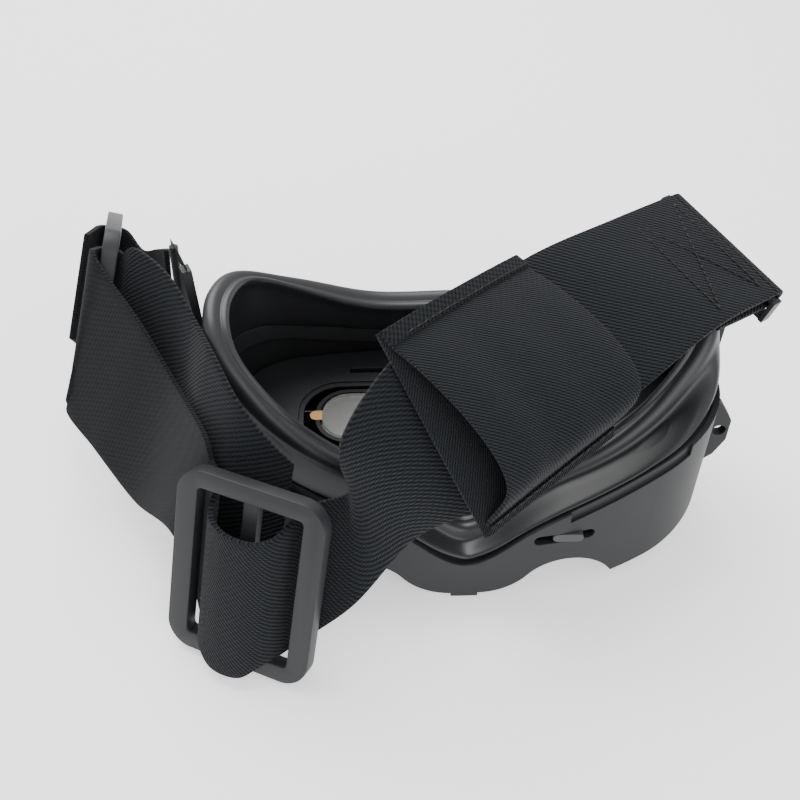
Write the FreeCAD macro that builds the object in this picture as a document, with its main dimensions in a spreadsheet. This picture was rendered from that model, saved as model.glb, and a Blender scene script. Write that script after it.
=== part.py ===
# Video goggles for flying model aircraft: a moulded housing with two sliding eyepieces, a rubber face seal
# and a 50 mm elastic head strap with a battery pocket.
# Frame: +Z up, X across the face, the goggles lie on their front cover with the eyes looking down into them.
# The origin is the middle of the flat resting face of the front cover. All sizes are in millimetres.
import FreeCAD, Part
import math
import os

V = FreeCAD.Vector
doc = FreeCAD.newDocument("fpv_goggles")

# ---------------------------------------------------------------- driving sizes
SIZES = {
    "half_width": 85.0,        # housing, centre to side wall
    "near_reach": 45.0,        # nose side of the housing, from the origin
    "far_reach": 48.0,         # forehead side
    "shell_height": 66.0,      # blank height before the face curve is cut
    "wall": 2.2,
    "visor_thickness": 2.4,
    "visor_flat": 22.0,        # half width of the flat resting face
    "visor_radius": 120.0,     # the front sweeps back from the flat on this radius
    "plate_level": 34.0,       # underside of the inner face plate
    "plate_thickness": 2.0,
    "eye_spacing": 64.0,       # distance between the two optical axes at rest
    "eye_level": 8.0,          # the optical axes lie this far towards the forehead
    "window_width": 48.0,
    "window_height": 31.0,
    "barrel_width": 36.0,
    "barrel_height": 27.0,
    "barrel_depth": 19.0,
    "lens_thickness": 3.0,
    "slot_length": 19.0,
    "slot_height": 4.2,
    "slot_level": 26.5,
    "scoop_radius": 17.8,
    "scoop_flare": 20.0,       # the scoop opens towards the middle on this radius
    "rod_diameter": 2.0,
    "web_width": 50.0,
    "web_thickness": 1.8,
    "buckle_width": 50.0,
    "buckle_height": 64.0,
    "buckle_thickness": 5.4,
    "buckle_bar": 7.0,
    "buckle_rail": 5.7,
    "buckle_centre_bar": 5.0,
    "jack_bore": 5.5,
    "sma_diameter": 6.2,
    "fan_size": 20.0,
    "fan_depth": 7.0,
}
sheet = doc.addObject("Spreadsheet::Sheet", "sizes")
for row, (alias, size) in enumerate(SIZES.items(), start=1):
    sheet.set("A%d" % row, alias)
    sheet.set("B%d" % row, str(size))
    sheet.setAlias("B%d" % row, alias)
doc.recompute()


def size(alias):
    return SIZES[alias]


def bind(obj, prop, text):
    """Ties a property to the sheet: every word that names a size becomes a reference to its cell."""
    words = []
    for word in text.split():
        words.append("sizes." + word if word in SIZES else word)
    obj.setExpression(prop, " ".join(words))


NODES = []


def keep(label, obj, place=None):
    """Names a finished piece after its node."""
    obj.Label = label
    if place is not None:
        obj.Placement = place
    NODES.append(obj)
    return obj


# ---------------------------------------------------------------- small makers
def body(name):
    return doc.addObject("PartDesign::Body", name)


def sketch_on(part, plane, name, offset=0.0):
    """An empty sketch on one of the body's own origin planes, moved along the plane's normal."""
    base = [f for f in part.Origin.OriginFeatures if f.Role == plane][0]
    sk = part.newObject("Sketcher::SketchObject", name)
    sk.AttachmentSupport = [(base, "")]
    sk.MapMode = "FlatFace"
    sk.AttachmentOffset = FreeCAD.Placement(V(0, 0, offset), FreeCAD.Rotation())
    return sk


def add_lines(sk, points):
    for start, end in zip(points, points[1:] + points[:1]):
        sk.addGeometry(Part.LineSegment(V(*start, 0), V(*end, 0)), False)


def add_rectangle(sk, width, height, cx=0.0, cy=0.0):
    w, h = width / 2, height / 2
    add_lines(sk, [(cx - w, cy - h), (cx + w, cy - h), (cx + w, cy + h), (cx - w, cy + h)])


def add_rounded(sk, width, height, radius, cx=0.0, cy=0.0):
    """A rectangle with round corners, as four lines and four arcs."""
    w, h = width / 2 - radius, height / 2 - radius
    if w > 0:
        for side in (-1, 1):
            y = cy + side * (h + radius)
            sk.addGeometry(Part.LineSegment(V(cx - w, y, 0), V(cx + w, y, 0)), False)
    if h > 0:
        for side in (-1, 1):
            x = cx + side * (w + radius)
            sk.addGeometry(Part.LineSegment(V(x, cy - h, 0), V(x, cy + h, 0)), False)
    corners = [(w, h, 0), (-w, h, 90), (-w, -h, 180), (w, -h, 270)]
    for px, py, turn in corners:
        circle = Part.Circle(V(cx + px, cy + py, 0), V(0, 0, 1), radius)
        sk.addGeometry(Part.ArcOfCircle(circle, math.radians(turn), math.radians(turn + 90)), False)


def add_circle(sk, radius, cx=0.0, cy=0.0):
    sk.addGeometry(Part.Circle(V(cx, cy, 0), V(0, 0, 1), radius), False)


def pad(part, sk, length, symmetric=False, reverse=False):
    feature = part.newObject("PartDesign::Pad", sk.Name + "_pad")
    feature.Profile = sk
    if isinstance(length, str):
        bind(feature, "Length", length)
    else:
        feature.Length = length
    feature.Midplane = symmetric
    feature.Reversed = reverse
    part.Tip = feature
    return feature


def pocket(part, sk, length=None, symmetric=False, reverse=False):
    feature = part.newObject("PartDesign::Pocket", sk.Name + "_pocket")
    feature.Profile = sk
    if length is None:
        feature.Type = 1
    elif isinstance(length, str):
        bind(feature, "Length", length)
    else:
        feature.Length = length
    feature.Midplane = symmetric
    feature.Reversed = reverse
    part.Tip = feature
    return feature


def fillet(part, feature, edges, radius):
    rounded = part.newObject("PartDesign::Fillet", feature.Name + "_fillet")
    rounded.Base = (feature, edges)
    rounded.Radius = radius
    part.Tip = rounded
    return rounded


def at(x=0.0, y=0.0, z=0.0, axis=(0, 0, 1), angle=0.0):
    return FreeCAD.Placement(V(x, y, z), FreeCAD.Rotation(V(*axis), angle))


def group(name, shapes):
    """Several equal solids of one node, such as a set of screws."""
    obj = doc.addObject("Part::Feature", name)
    obj.Shape = Part.makeCompound(shapes)
    return obj


def outward(solid):
    """The same solid with its faces turned outwards."""
    return solid.reversed() if solid.Volume < 0 else solid


# ---------------------------------------------------------------- housing outline
NEAR_RADIUS = 188.0    # the nose side is one long flat curve
FAR_RADIUS = 400.0     # the forehead side is flatter still
NEAR_CORNER = 34.0
FAR_CORNER = 33.5


def outline_edges(inset, level=0.0):
    """The housing seen from above: two long arcs, four corner arcs and two short side lines, all tangent.
    An inset keeps every centre and shortens every radius, so walls made from two outlines are even."""
    half = size("half_width")
    near_y = NEAR_RADIUS - size("near_reach")
    far_y = size("far_reach") - FAR_RADIUS
    ncx = half - NEAR_CORNER
    fcx = half - FAR_CORNER
    ncy = near_y - math.sqrt((NEAR_RADIUS - NEAR_CORNER) ** 2 - ncx ** 2)
    fcy = far_y + math.sqrt((FAR_RADIUS - FAR_CORNER) ** 2 - fcx ** 2)
    near_turn = math.asin(ncx / (NEAR_RADIUS - NEAR_CORNER))
    far_turn = math.asin(fcx / (FAR_RADIUS - FAR_CORNER))
    down, up = -math.pi / 2, math.pi / 2

    def arc(cx, cy, radius, start, end):
        circle = Part.Circle(V(cx, cy, level), V(0, 0, 1), radius - inset)
        return Part.ArcOfCircle(circle, start, end)

    x = half - inset
    return [
        arc(0, near_y, NEAR_RADIUS, down - near_turn, down + near_turn),
        arc(ncx, ncy, NEAR_CORNER, down + near_turn, 0),
        Part.LineSegment(V(x, ncy, level), V(x, fcy, level)),
        arc(fcx, fcy, FAR_CORNER, 0, up - far_turn),
        arc(0, far_y, FAR_RADIUS, up - far_turn, up + far_turn),
        arc(-fcx, fcy, FAR_CORNER, up + far_turn, math.pi),
        Part.LineSegment(V(-x, fcy, level), V(-x, ncy, level)),
        arc(-ncx, ncy, NEAR_CORNER, math.pi, math.pi * 3 / 2 - near_turn),
    ]


def outline_solid(inset, low, high):
    """A solid block of the housing outline between two levels."""
    wire = Part.Wire([e.toShape() for e in outline_edges(inset, low)])
    return Part.Face(wire).extrude(V(0, 0, high - low))


def mirrored_curve(right_half, level_shift=0.0):
    """A smooth curve in the XZ plane through points (x, z) given for x >= 0 and mirrored."""
    left = [(-x, z) for x, z in reversed(right_half) if x > 0]
    points = [V(x, 0, z + level_shift) for x, z in left + right_half]
    curve = Part.BSplineCurve()
    curve.interpolate(points)
    return curve.toShape()


# Where rubber meets housing, on the nose side and on the forehead side: (distance from the middle, height).
NOSE_LINE = [(0, 16.5), (9, 20.5), (20, 30.0), (30, 36.0), (44, 42.5), (57, 48.5), (70, 54.5), (82, 58.5), (96, 61)]
BROW_LINE = [(0, 46.0), (30, 47.5), (57, 52.0), (76, 57.0), (82, 58.5), (96, 61)]
SPLIT_Y = -3.0         # the two lines meet at the temples along this line


def face_side(shift=0.0, ceiling=140.0):
    """Everything on the wearer's side of the line where the face seal starts."""
    halves = []
    for line, y, reach in ((NOSE_LINE, -80, 80 + SPLIT_Y), (BROW_LINE, SPLIT_Y, 80 - SPLIT_Y)):
        low = mirrored_curve(line, shift)
        a, b = low.Vertexes[0].Point, low.Vertexes[-1].Point
        top = [V(b.x, 0, b.z), V(b.x, 0, ceiling), V(a.x, 0, ceiling), V(a.x, 0, a.z)]
        sides = [Part.makeLine(top[i], top[i + 1]) for i in range(3)]
        face = Part.Face(Part.Wire([low] + sides))
        face.translate(V(0, y, 0))
        halves.append(face.extrude(V(0, reach, 0)))
    return halves[0].fuse(halves[1])


def front_side(inset=0.0):
    """Everything in front of the visor's curve: a flat middle and two arcs that sweep back."""
    flat, radius = size("visor_flat"), size("visor_radius")
    reach = 95.0
    turn = math.asin((reach - flat) / radius)
    edges = [Part.makeLine(V(-flat, 0, inset), V(flat, 0, inset))]
    for side in (-1, 1):
        centre = V(side * flat, 0, radius)
        inner = radius - inset
        mid = centre + V(side * inner * math.sin(turn / 2), 0, -inner * math.cos(turn / 2))
        end = centre + V(side * inner * math.sin(turn), 0, -inner * math.cos(turn))
        edges.append(Part.Arc(V(side * flat, 0, inset), mid, end).toShape())
    left_end = min((v.Point for v in edges[1].Vertexes), key=lambda p: p.x)
    right_end = max((v.Point for v in edges[2].Vertexes), key=lambda p: p.x)
    below = -60.0
    edges.append(Part.makeLine(right_end, V(right_end.x, 0, below)))
    edges.append(Part.makeLine(V(right_end.x, 0, below), V(left_end.x, 0, below)))
    edges.append(Part.makeLine(V(left_end.x, 0, below), left_end))
    face = Part.Face(Part.Wire(Part.__sortEdges__(edges)))
    face.translate(V(0, -90, 0))
    return face.extrude(V(0, 180, 0))


SCOOP_X = 35.5         # crown of the finger scoop, from the middle
SCOOP_TILT = 40.0      # the finger scoops run inwards and down at this angle
SCOOP_SPREAD = 55.0    # the round crown turns into the flare at this slope


def scoop(side, grow=0.0):
    """A finger scoop under the eyepiece slider: a round crown that flares out to the resting face, cut on
    a slant that runs down and inwards. Growing it gives the back of the wall behind it."""
    turn = math.radians(SCOOP_SPREAD)
    crown = size("scoop_radius") + grow
    flare = size("scoop_flare") - grow
    slant = math.cos(turn)
    cx = SCOOP_X
    cz = size("scoop_flare") * (1 - slant) - size("scoop_radius") * slant - 0.05
    join = V(cx - crown * math.sin(turn), 0, cz + crown * math.cos(turn))
    flare_centre = join - V(flare * math.sin(turn), 0, -flare * math.cos(turn))
    half_way = flare_centre + V(flare * math.sin(turn / 2), 0, -flare * math.cos(turn / 2))
    start = flare_centre + V(0, 0, -flare)
    end = V(cx + crown, 0, cz)
    top = V(cx, 0, cz + crown)
    below = V(0, 0, -30.0)
    edges = [
        Part.Arc(start, half_way, join).toShape(),
        Part.Arc(join, top, end).toShape(),
        Part.makeLine(end, end + below),
        Part.makeLine(end + below, start + below),
        Part.makeLine(start + below, start),
    ]
    face = Part.Face(Part.Wire(edges))
    lead, reach = 14.0, 60.0
    slope = math.tan(math.radians(SCOOP_TILT))
    face.translate(V(0, -43.0 - lead, lead * slope))
    block = face.extrude(V(0, reach, -reach * slope))
    return block if side > 0 else block.mirror(V(0, 0, 0), V(1, 0, 0))


def rounded_box(width, height, depth, radius, place):
    """A block with round corners, width along X, height along Y, depth along Z, centred on X and Y."""
    box = Part.makeBox(width, height, depth, V(-width / 2, -height / 2, 0))
    upright = [e for e in box.Edges if abs(e.tangentAt(e.FirstParameter).z) > 0.9]
    box = box.makeFillet(radius, upright)
    box.Placement = place
    return box


# ---------------------------------------------------------------- housing shell
def node(label, shape):
    """A piece whose surface follows the face curve, which no sketch in one plane can give."""
    obj = doc.addObject("Part::Feature", label)
    obj.Shape = shape
    return keep(label, obj)


def near_wall_y(x):
    """Outer face of the nose-side wall at a distance from the middle."""
    return NEAR_RADIUS - size("near_reach") - math.sqrt(NEAR_RADIUS ** 2 - x ** 2)


def far_wall_y(x):
    """Outer face of the forehead-side wall."""
    return size("far_reach") - FAR_RADIUS + math.sqrt(FAR_RADIUS ** 2 - x ** 2)


SLOT_X = 31.8          # middle of the slider slot
KNOB_X = 33.0          # middle of the slider knob at rest
EAR = V(87.9, -9.0, 41.0)   # front of the hole in the lug on the right wall
EAR_THICK = 3.5
EAR_BORE = 2.25
EAR_OUTLINE = [(83.4, 55.0), (87.0, 52.5), (91.2, 45.5), (91.2, 36.5), (88.0, 29.5), (83.4, 25.5)]
PORT_LEVEL = 24.0
JACK_X = -50.0
SMA_XS = (-33.0, -17.0)
ROCKER_X = 6.0
RECORD_X = 30.0
POWER_X = 48.0
BOARD_LEVEL = 6.2
FAN_SPOT = (70.5, 12.0, 19.2)
# Posts on the inside of the cover: four carry the circuit board, two the fan. (x, y, top)
POSTS = [(-44, -9, BOARD_LEVEL), (44, -9, BOARD_LEVEL), (-30, 28, BOARD_LEVEL), (30, 28, BOARD_LEVEL),
         (63, 4.5, FAN_SPOT[2]), (63, 19.5, FAN_SPOT[2])]
SCREW_SPOTS = [(-59, 38.6), (59, 38.6), (-77, -15.5), (77, -15.5), (-2, 43.6)]
BOSS_RADIUS = 3.4


PIVOT_Y = 14.0         # the strap clips turn on pins through the side walls
PIVOT_Z = 46.0
PIVOT_RADIUS = 2.0


def pivot_bore(side):
    return Part.makeCylinder(PIVOT_RADIUS + 0.05, 8, V(side * (size("half_width") - 4.0), PIVOT_Y, PIVOT_Z),
                             V(side, 0, 0))


def slot_cutter(side):
    half = size("slot_length") / 2 + 0.6
    high = size("slot_height")
    box = Part.makeBox(2 * half, 12, high, V(side * SLOT_X - half, -48, size("slot_level") - high / 2))
    upright = [e for e in box.Edges if abs(e.tangentAt(e.FirstParameter).y) > 0.9]
    return box.makeFillet(high / 2 - 0.05, upright)


def wall_hole(x, radius):
    """A round hole through the forehead-side wall."""
    return Part.makeCylinder(radius, 12, V(x, 38, PORT_LEVEL), V(0, 1, 0))


def wall_window(x, width, height):
    return Part.makeBox(width, 12, height, V(x - width / 2, 38, PORT_LEVEL - height / 2))


def ear_lug(side):
    """A flat lug that stands out of the side wall, with a round hole through it."""
    corners = [V(side * x, EAR.y, z) for x, z in EAR_OUTLINE]
    plate = Part.Face(Part.makePolygon(corners + [corners[0]])).extrude(V(0, EAR_THICK, 0))
    outer = [e for e in plate.Edges if abs(e.tangentAt(e.FirstParameter).y) > 0.9
             and abs(e.Vertexes[0].X) > 85]
    plate = plate.makeFillet(2.0, outer)
    return plate.cut(Part.makeCylinder(EAR_BORE, 10, V(side * EAR.x, EAR.y - 3, EAR.z), V(0, 1, 0)))


def make_rear_shell():
    outer = outline_solid(0, -2, size("shell_height"))
    room = outline_solid(size("wall"), -3, size("shell_height") + 1)
    shell = outer.cut(room)
    for side in (-1, 1):
        hood = scoop(side, 1.8).common(outer)
        shell = shell.fuse(hood)
        shell = shell.fuse(ear_lug(side))
    for x, y in SCREW_SPOTS:
        boss = Part.makeCylinder(BOSS_RADIUS, 28, V(x, y, 4))
        shell = shell.fuse(boss.common(outer).cut(front_side(size("visor_thickness") + 0.1)))
    for side in (-1, 1):
        shell = shell.cut(scoop(side))
        shell = shell.cut(slot_cutter(side))
        shell = shell.cut(pivot_bore(side))
    shell = shell.cut(wall_hole(JACK_X, 4.1))
    for x in SMA_XS:
        shell = shell.cut(wall_hole(x, 3.4))
    shell = shell.cut(wall_window(ROCKER_X, 14.6, 5.6))
    shell = shell.cut(wall_hole(RECORD_X, 3.05))
    shell = shell.cut(wall_hole(POWER_X, 4.05))
    for x, y in SCREW_SPOTS:
        shell = shell.cut(Part.makeCylinder(1.0, 30, V(x, y, -1)))
    shell = shell.cut(face_side())
    shell = shell.cut(front_side())
    # The cheek walls step in just under the rubber.
    rim = outline_solid(-1, 20, 60).cut(outline_solid(1.1, 19, 61))
    for side in (-1, 1):
        cheek = Part.makeBox(38, 45, 60, V(-19, -50, 10))
        cheek.translate(V(side * 52, 0, 0))
        shell = shell.cut(rim.common(face_side(-4.0)).common(cheek))
    return shell.removeSplitter()


def make_front_cover():
    blank = outline_solid(size("wall") + 0.15, -2, 40)
    skin = front_side(size("visor_thickness")).cut(front_side())
    cover = blank.common(skin)
    for side in (-1, 1):
        cover = cover.cut(scoop(side, 2.0))
    for x, y in SCREW_SPOTS:
        cover = cover.cut(Part.makeCylinder(1.3, 30, V(x, y, -1)))
        cover = cover.cut(Part.makeCylinder(2.3, 10, V(x, y, front_level(x) - 8.6)))
    for x, y, top in POSTS:
        root = front_level(x) + size("visor_thickness") - 0.8
        cover = cover.fuse(Part.makeCylinder(2.0, top - root, V(x, y, root)))
    return cover


def front_level(x):
    """Height of the visor's outer face at a distance from the middle."""
    beyond = max(0.0, abs(x) - size("visor_flat"))
    return size("visor_radius") - math.sqrt(size("visor_radius") ** 2 - beyond ** 2)


rear_shell = node("rear_shell", make_rear_shell())
front_cover = node("front_cover", make_front_cover())


def make_screws():
    """Pan-head screws that hold the cover to the shell, heads sunk into the visor."""
    shapes = []
    for x, y in SCREW_SPOTS:
        level = front_level(x)
        head = Part.makeCylinder(2.0, 1.2, V(x, y, level + 0.1))
        shank = Part.makeCylinder(0.95, 10.0, V(x, y, level + 1.2))
        drive = Part.makeBox(2.6, 0.6, 0.6, V(x - 1.3, y - 0.3, level))
        shapes.append(head.fuse(shank).cut(drive))
    return shapes


keep("housing_screws", group("housing_screws", make_screws()))


# ---------------------------------------------------------------- inner face plate and seal frame
FRAME_OUT = 0.2        # gap between the shell wall and the seal frame
FRAME_WALL = 2.0
FRAME_DEPTH = 7.0
PLATE_INSET = 4.6


def nose_well(grow, low=7.0):
    """The hollow that clears the bridge of the nose: a round-tipped wedge that widens towards the face."""
    wires = []
    for level, half, tip in ((low, 6.0, -37.0), (37.0, 31.0, -11.0)):
        a = V(-half - grow, -60, level)
        b = V(-half - grow, -45, level)
        c = V(-grow - 3, tip + grow, level)
        d = V(grow + 3, tip + grow, level)
        e = V(half + grow, -45, level)
        f = V(half + grow, -60, level)
        wires.append(Part.makePolygon([a, b, c, d, e, f, a]))
    return outward(Part.makeLoft(wires, True, True))


def make_face_plate():
    level, thick = size("plate_level"), size("plate_thickness")
    plate = outline_solid(PLATE_INSET, level, level + thick)
    wall = nose_well(1.6, 8.5).common(outline_solid(PLATE_INSET, 8.6, level + thick))
    plate = plate.fuse(wall).cut(nose_well(0.0))
    plate = plate.cut(face_side(-1.0).common(Part.makeBox(70, 60, 90, V(-35, -80, 0))))
    for side in (-1, 1):
        centre = V(side * size("eye_spacing") / 2, size("eye_level"), level - 1)
        plate = plate.cut(rounded_box(size("window_width") - 3.6, size("window_height"), 6, 13.5,
                                      FreeCAD.Placement(centre, FreeCAD.Rotation())))
        step = V(centre.x, centre.y, level + thick - 0.8)
        plate = plate.cut(rounded_box(size("window_width"), size("window_height") + 3.6, 6, 15.3,
                                      FreeCAD.Placement(step, FreeCAD.Rotation())))
    vent = Part.makeBox(76, 2.4, 8, V(-38, 30.0, level - 2))
    pieces = plate.cut(vent).Solids
    return max(pieces, key=lambda solid: solid.Volume)


node("face_plate", make_face_plate())


def make_seal_frame():
    outer = outline_solid(size("wall") + FRAME_OUT, 5, 64)
    inner = outline_solid(size("wall") + FRAME_OUT + FRAME_WALL, 4, 65)
    ring = outer.cut(inner).common(face_side(-FRAME_DEPTH)).cut(face_side(-0.1))
    for side in (-1, 1):
        ring = ring.cut(slot_cutter(side))
        ring = ring.cut(scoop(side, 2.0))
    for x, y in SCREW_SPOTS:
        ring = ring.cut(Part.makeCylinder(BOSS_RADIUS + 0.2, 30, V(x, y, 3)))
    return ring


node("seal_frame", make_seal_frame())

# The seal's cross-sections from the middle of the forehead round the temple and cheek to the nose:
# foot on the housing (x, y), height of the foot, top of the lip (x, y, z) and how far the skirt bulges.
SEAL_STATIONS = [
    ((0, 46.6), (0, 43.0, 62.0), 0.8),
    ((30, 45.4), (29, 42.0, 63.0), 0.8),
    ((57, 41.5), (55, 38.5, 72.5), 1.0),
    ((75, 33.2), (73, 31.5, 81.5), 1.6),
    ((83, 18), (79.5, 18.0, 84.0), 2.0),
    ((83.6, 2), (79.5, 4.0, 81.0), 1.8),
    ((80.5, -13), (75, -5.5, 73.5), 1.4),
    ((70, -27), (63.5, -14.0, 61.5), 1.0),
    ((57, -33.8), (53, -19.0, 54.0), 1.0),
    ((43, -38), (42, -22.5, 48.0), 1.0),
    ((29, -40.8), (29, -25.0, 42.0), 1.0),
    ((17, -42.4), (17.5, -28.0, 34.5), 0.8),
    ((7.5, -43.2), (8, -31.0, 27.0), 0.5),
    ((0, -43.4), (0, -32.0, 23.0), 0.4),
]
SEAL_WALL = 4.0
LIP_WIDTH = 4.5


def curve_height(line, x):
    """Height of the face curve at a distance from the middle, straight between its points."""
    x = abs(x)
    for (x0, z0), (x1, z1) in zip(line, line[1:]):
        if x <= x1:
            return z0 + (z1 - z0) * (x - x0) / (x1 - x0)
    return line[-1][1]


def seal_section(foot, lip, bulge, mirror=1):
    base = V(foot[0], foot[1], 0)
    top = V(lip[0], lip[1], 0)
    line = NOSE_LINE if foot[1] < SPLIT_Y else BROW_LINE
    low = curve_height(line, foot[0]) - 6.0
    step = 3.0
    out = V(foot[0] * 0.35, foot[1], 0) if abs(foot[0]) < 60 else V(foot[0], foot[1] * 0.9, 0)
    out.normalize()
    points = [
        base + V(0, 0, low),
        base + out * bulge + V(0, 0, low + 6.0 + (lip[2] - low - 6.0) * 0.35),
        top + out * step + V(0, 0, lip[2] - 3.0),
        top + out * 1.2 + V(0, 0, lip[2]),
        top - out * (LIP_WIDTH - 2.5) + V(0, 0, lip[2] - 0.6),
        top - out * 1.2 + V(0, 0, lip[2] - 4.2),
        base - out * SEAL_WALL + V(0, 0, low),
    ]
    points = [V(p.x * mirror, p.y, p.z) for p in points]
    return Part.makePolygon(points + [points[0]])


def make_face_seal():
    right = [seal_section(*s) for s in SEAL_STATIONS]
    left = [seal_section(*s, mirror=-1) for s in SEAL_STATIONS[-2:0:-1]]
    ring = outward(Part.makeLoft(right + left + [right[0]], True, True))
    return ring.common(face_side(0.3))


node("face_seal", make_face_seal())


# ---------------------------------------------------------------- eyepieces
def make_barrel(side):
    """Square-round lens tube with a foot on each side that slides on the guide rods."""
    part = body("barrel")
    sk = sketch_on(part, "XY_Plane", "barrel_outline")
    add_rounded(sk, size("barrel_width"), size("barrel_height"), 12.0)
    pad(part, sk, "barrel_depth")
    foot = sketch_on(part, "XY_Plane", "barrel_feet", 3.2)
    add_rectangle(foot, 14, size("barrel_height") + 11)
    pad(part, foot, 4.6)
    hole = sketch_on(part, "XY_Plane", "barrel_inside", -1.0)
    add_rounded(hole, size("barrel_width") - 3.2, size("barrel_height") - 3.2, 10.4)
    pocket(part, hole, reverse=True)
    rods = sketch_on(part, "YZ_Plane", "rod_bores", -20.0)
    for y in (-1, 1):
        add_circle(rods, size("rod_diameter") / 2 + 0.05, y * ROD_Y, ROD_LEVEL)
    pocket(part, rods, 40.0, reverse=True)
    return part


ROD_Y = 16.4           # rods, from the optical axis
ROD_LEVEL = 5.5        # above the bottom of the barrel
BARREL_LEVEL = 16.4


def eye_place(side, level):
    return at(side * size("eye_spacing") / 2, size("eye_level"), level)


def make_lens():
    """Plano-convex lens with the same outline as the tube, crowned 1 mm."""
    part = body("lens")
    sk = sketch_on(part, "XY_Plane", "lens_outline")
    add_rounded(sk, size("barrel_width") - 3.6, size("barrel_height") - 3.6, 10.2)
    feature = pad(part, sk, "lens_thickness")
    doc.recompute()
    levels = [face.CenterOfMass.z for face in feature.Shape.Faces]
    top = levels.index(max(levels)) + 1
    fillet(part, feature, ["Face%d" % top], 1.0)
    return part


def make_display():
    part = body("display")
    sk = sketch_on(part, "XY_Plane", "display_outline")
    add_rounded(sk, 31.0, 22.5, 1.5)
    pad(part, sk, 2.6)
    glass = sketch_on(part, "XY_Plane", "display_glass", 2.6)
    add_rounded(glass, 26.0, 17.5, 1.0)
    pad(part, glass, 0.5)
    return part


def make_knob(side):
    """Slider knob in the slot, on an arm that reaches the barrel."""
    x = side * KNOB_X
    wall_y = near_wall_y(KNOB_X)
    high = size("slot_height") - 0.7
    knob = Part.makeBox(10, 3.4, high, V(x - 5, wall_y - 0.5, size("slot_level") - high / 2))
    ends = [e for e in knob.Edges if abs(e.tangentAt(e.FirstParameter).y) > 0.9]
    knob = knob.makeFillet(high / 2 - 0.05, ends)
    barrel_side = size("eye_level") - size("barrel_height") / 2
    arm_start = wall_y + 2.0
    arm = Part.makeBox(5, barrel_side - 0.05 - arm_start, 2.2, V(x - 2.5, arm_start, size("slot_level") - 1.1))
    plate = Part.makeBox(13, 1.2, 6.6, V(x - 6.5, wall_y + size("wall") + 2.9, size("slot_level") - 3.3))
    return knob.fuse([arm, plate]).removeSplitter()


for side, word in ((-1, "left"), (1, "right")):
    keep(word + "_barrel", make_barrel(side), eye_place(side, BARREL_LEVEL))
    keep(word + "_lens", make_lens(), eye_place(side, BARREL_LEVEL + size("barrel_depth") - 4.2))
    keep(word + "_display", make_display(), eye_place(side, BARREL_LEVEL - 3.3))
    node(word + "_ipd_knob", make_knob(side))


def make_film():
    """Thin protective film on the left lens, with a pull tab past the lens edge."""
    part = body("film")
    sk = sketch_on(part, "XY_Plane", "film_outline")
    add_rounded(sk, size("barrel_width") - 5.0, size("barrel_height") - 5.0, 9.6)
    pad(part, sk, 0.15)
    tab = sketch_on(part, "XY_Plane", "film_tab")
    add_rounded(tab, 13.0, 4.6, 2.25, -(size("barrel_width") - 5.0) / 2 + 2.0)
    pad(part, tab, 0.15)
    return part


FILM_LEVEL = BARREL_LEVEL + size("barrel_depth") + 0.1
keep("lens_film", make_film(), eye_place(-1, FILM_LEVEL))


def make_rods():
    shapes = []
    for y in (-1, 1):
        start = V(-57, size("eye_level") + y * ROD_Y, BARREL_LEVEL + ROD_LEVEL)
        shapes.append(Part.makeCylinder(size("rod_diameter") / 2, 114, start, V(1, 0, 0)))
    return shapes


keep("guide_rods", group("guide_rods", make_rods()))


def make_rod_carrier():
    """Bracket on the circuit board side that holds both rods at their ends and in the middle."""
    base = Part.makeBox(118, 46, 1.6, V(-59, size("eye_level") - 23, 9.6))
    for x in (-32, 32):
        window = Part.makeBox(44, 34, 4, V(x - 22, size("eye_level") - 17, 8))
        base = base.cut(window)
    for x in (-57.5, 0, 57.5):
        post = Part.makeBox(3, 40, 14, V(x - 1.5, size("eye_level") - 20, 9.6))
        opening = Part.makeBox(5, 28, 14, V(x - 2.5, size("eye_level") - 14, 11.2))
        base = base.fuse(post.cut(opening))
    for x in (-46, 46):
        for y in (-19.5, 19.5):
            base = base.fuse(Part.makeCylinder(1.8, 3.0, V(x, size("eye_level") + y, BOARD_LEVEL + 1.6)))
    for y in (-1, 1):
        start = V(-70, size("eye_level") + y * ROD_Y, BARREL_LEVEL + ROD_LEVEL)
        base = base.cut(Part.makeCylinder(size("rod_diameter") / 2 + 0.02, 140, start, V(1, 0, 0)))
    return base.removeSplitter()


node("rod_carrier", make_rod_carrier())

# ---------------------------------------------------------------- electronics, fan, ports and buttons
def make_board():
    part = body("board")
    sk = sketch_on(part, "XY_Plane", "board_outline")
    add_rounded(sk, 100.0, 46.0, 3.0)
    pad(part, sk, 1.6)
    for i, (x, y, w, h) in enumerate([(-20, 0, 14, 14), (15, 5, 10, 12), (36, -8, 12, 8)]):
        chip = sketch_on(part, "XY_Plane", "chip%d" % i, 1.6)
        add_rectangle(chip, w, h, x, y)
        pad(part, chip, 1.2)
    return part


keep("main_board", make_board(), at(0, size("eye_level"), BOARD_LEVEL))

FAN_THROAT = 9.2


def make_fan_frame():
    part = body("fan_frame")
    sk = sketch_on(part, "XY_Plane", "fan_square")
    add_rounded(sk, size("fan_size"), size("fan_size"), 2.0)
    pad(part, sk, "fan_depth")
    throat = sketch_on(part, "XY_Plane", "fan_throat", -1.0)
    add_circle(throat, FAN_THROAT)
    pocket(part, throat, reverse=True)
    spider = sketch_on(part, "XY_Plane", "fan_spider")
    add_circle(spider, 4.0)
    pad(part, spider, 0.9)
    for angle in (0, 90):
        arm = sketch_on(part, "XY_Plane", "fan_arm%d" % angle)
        wide, tall = (19.0, 1.6) if angle == 0 else (1.6, 19.0)
        add_rectangle(arm, wide, tall)
        pad(part, arm, 0.9)
    return part


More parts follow.
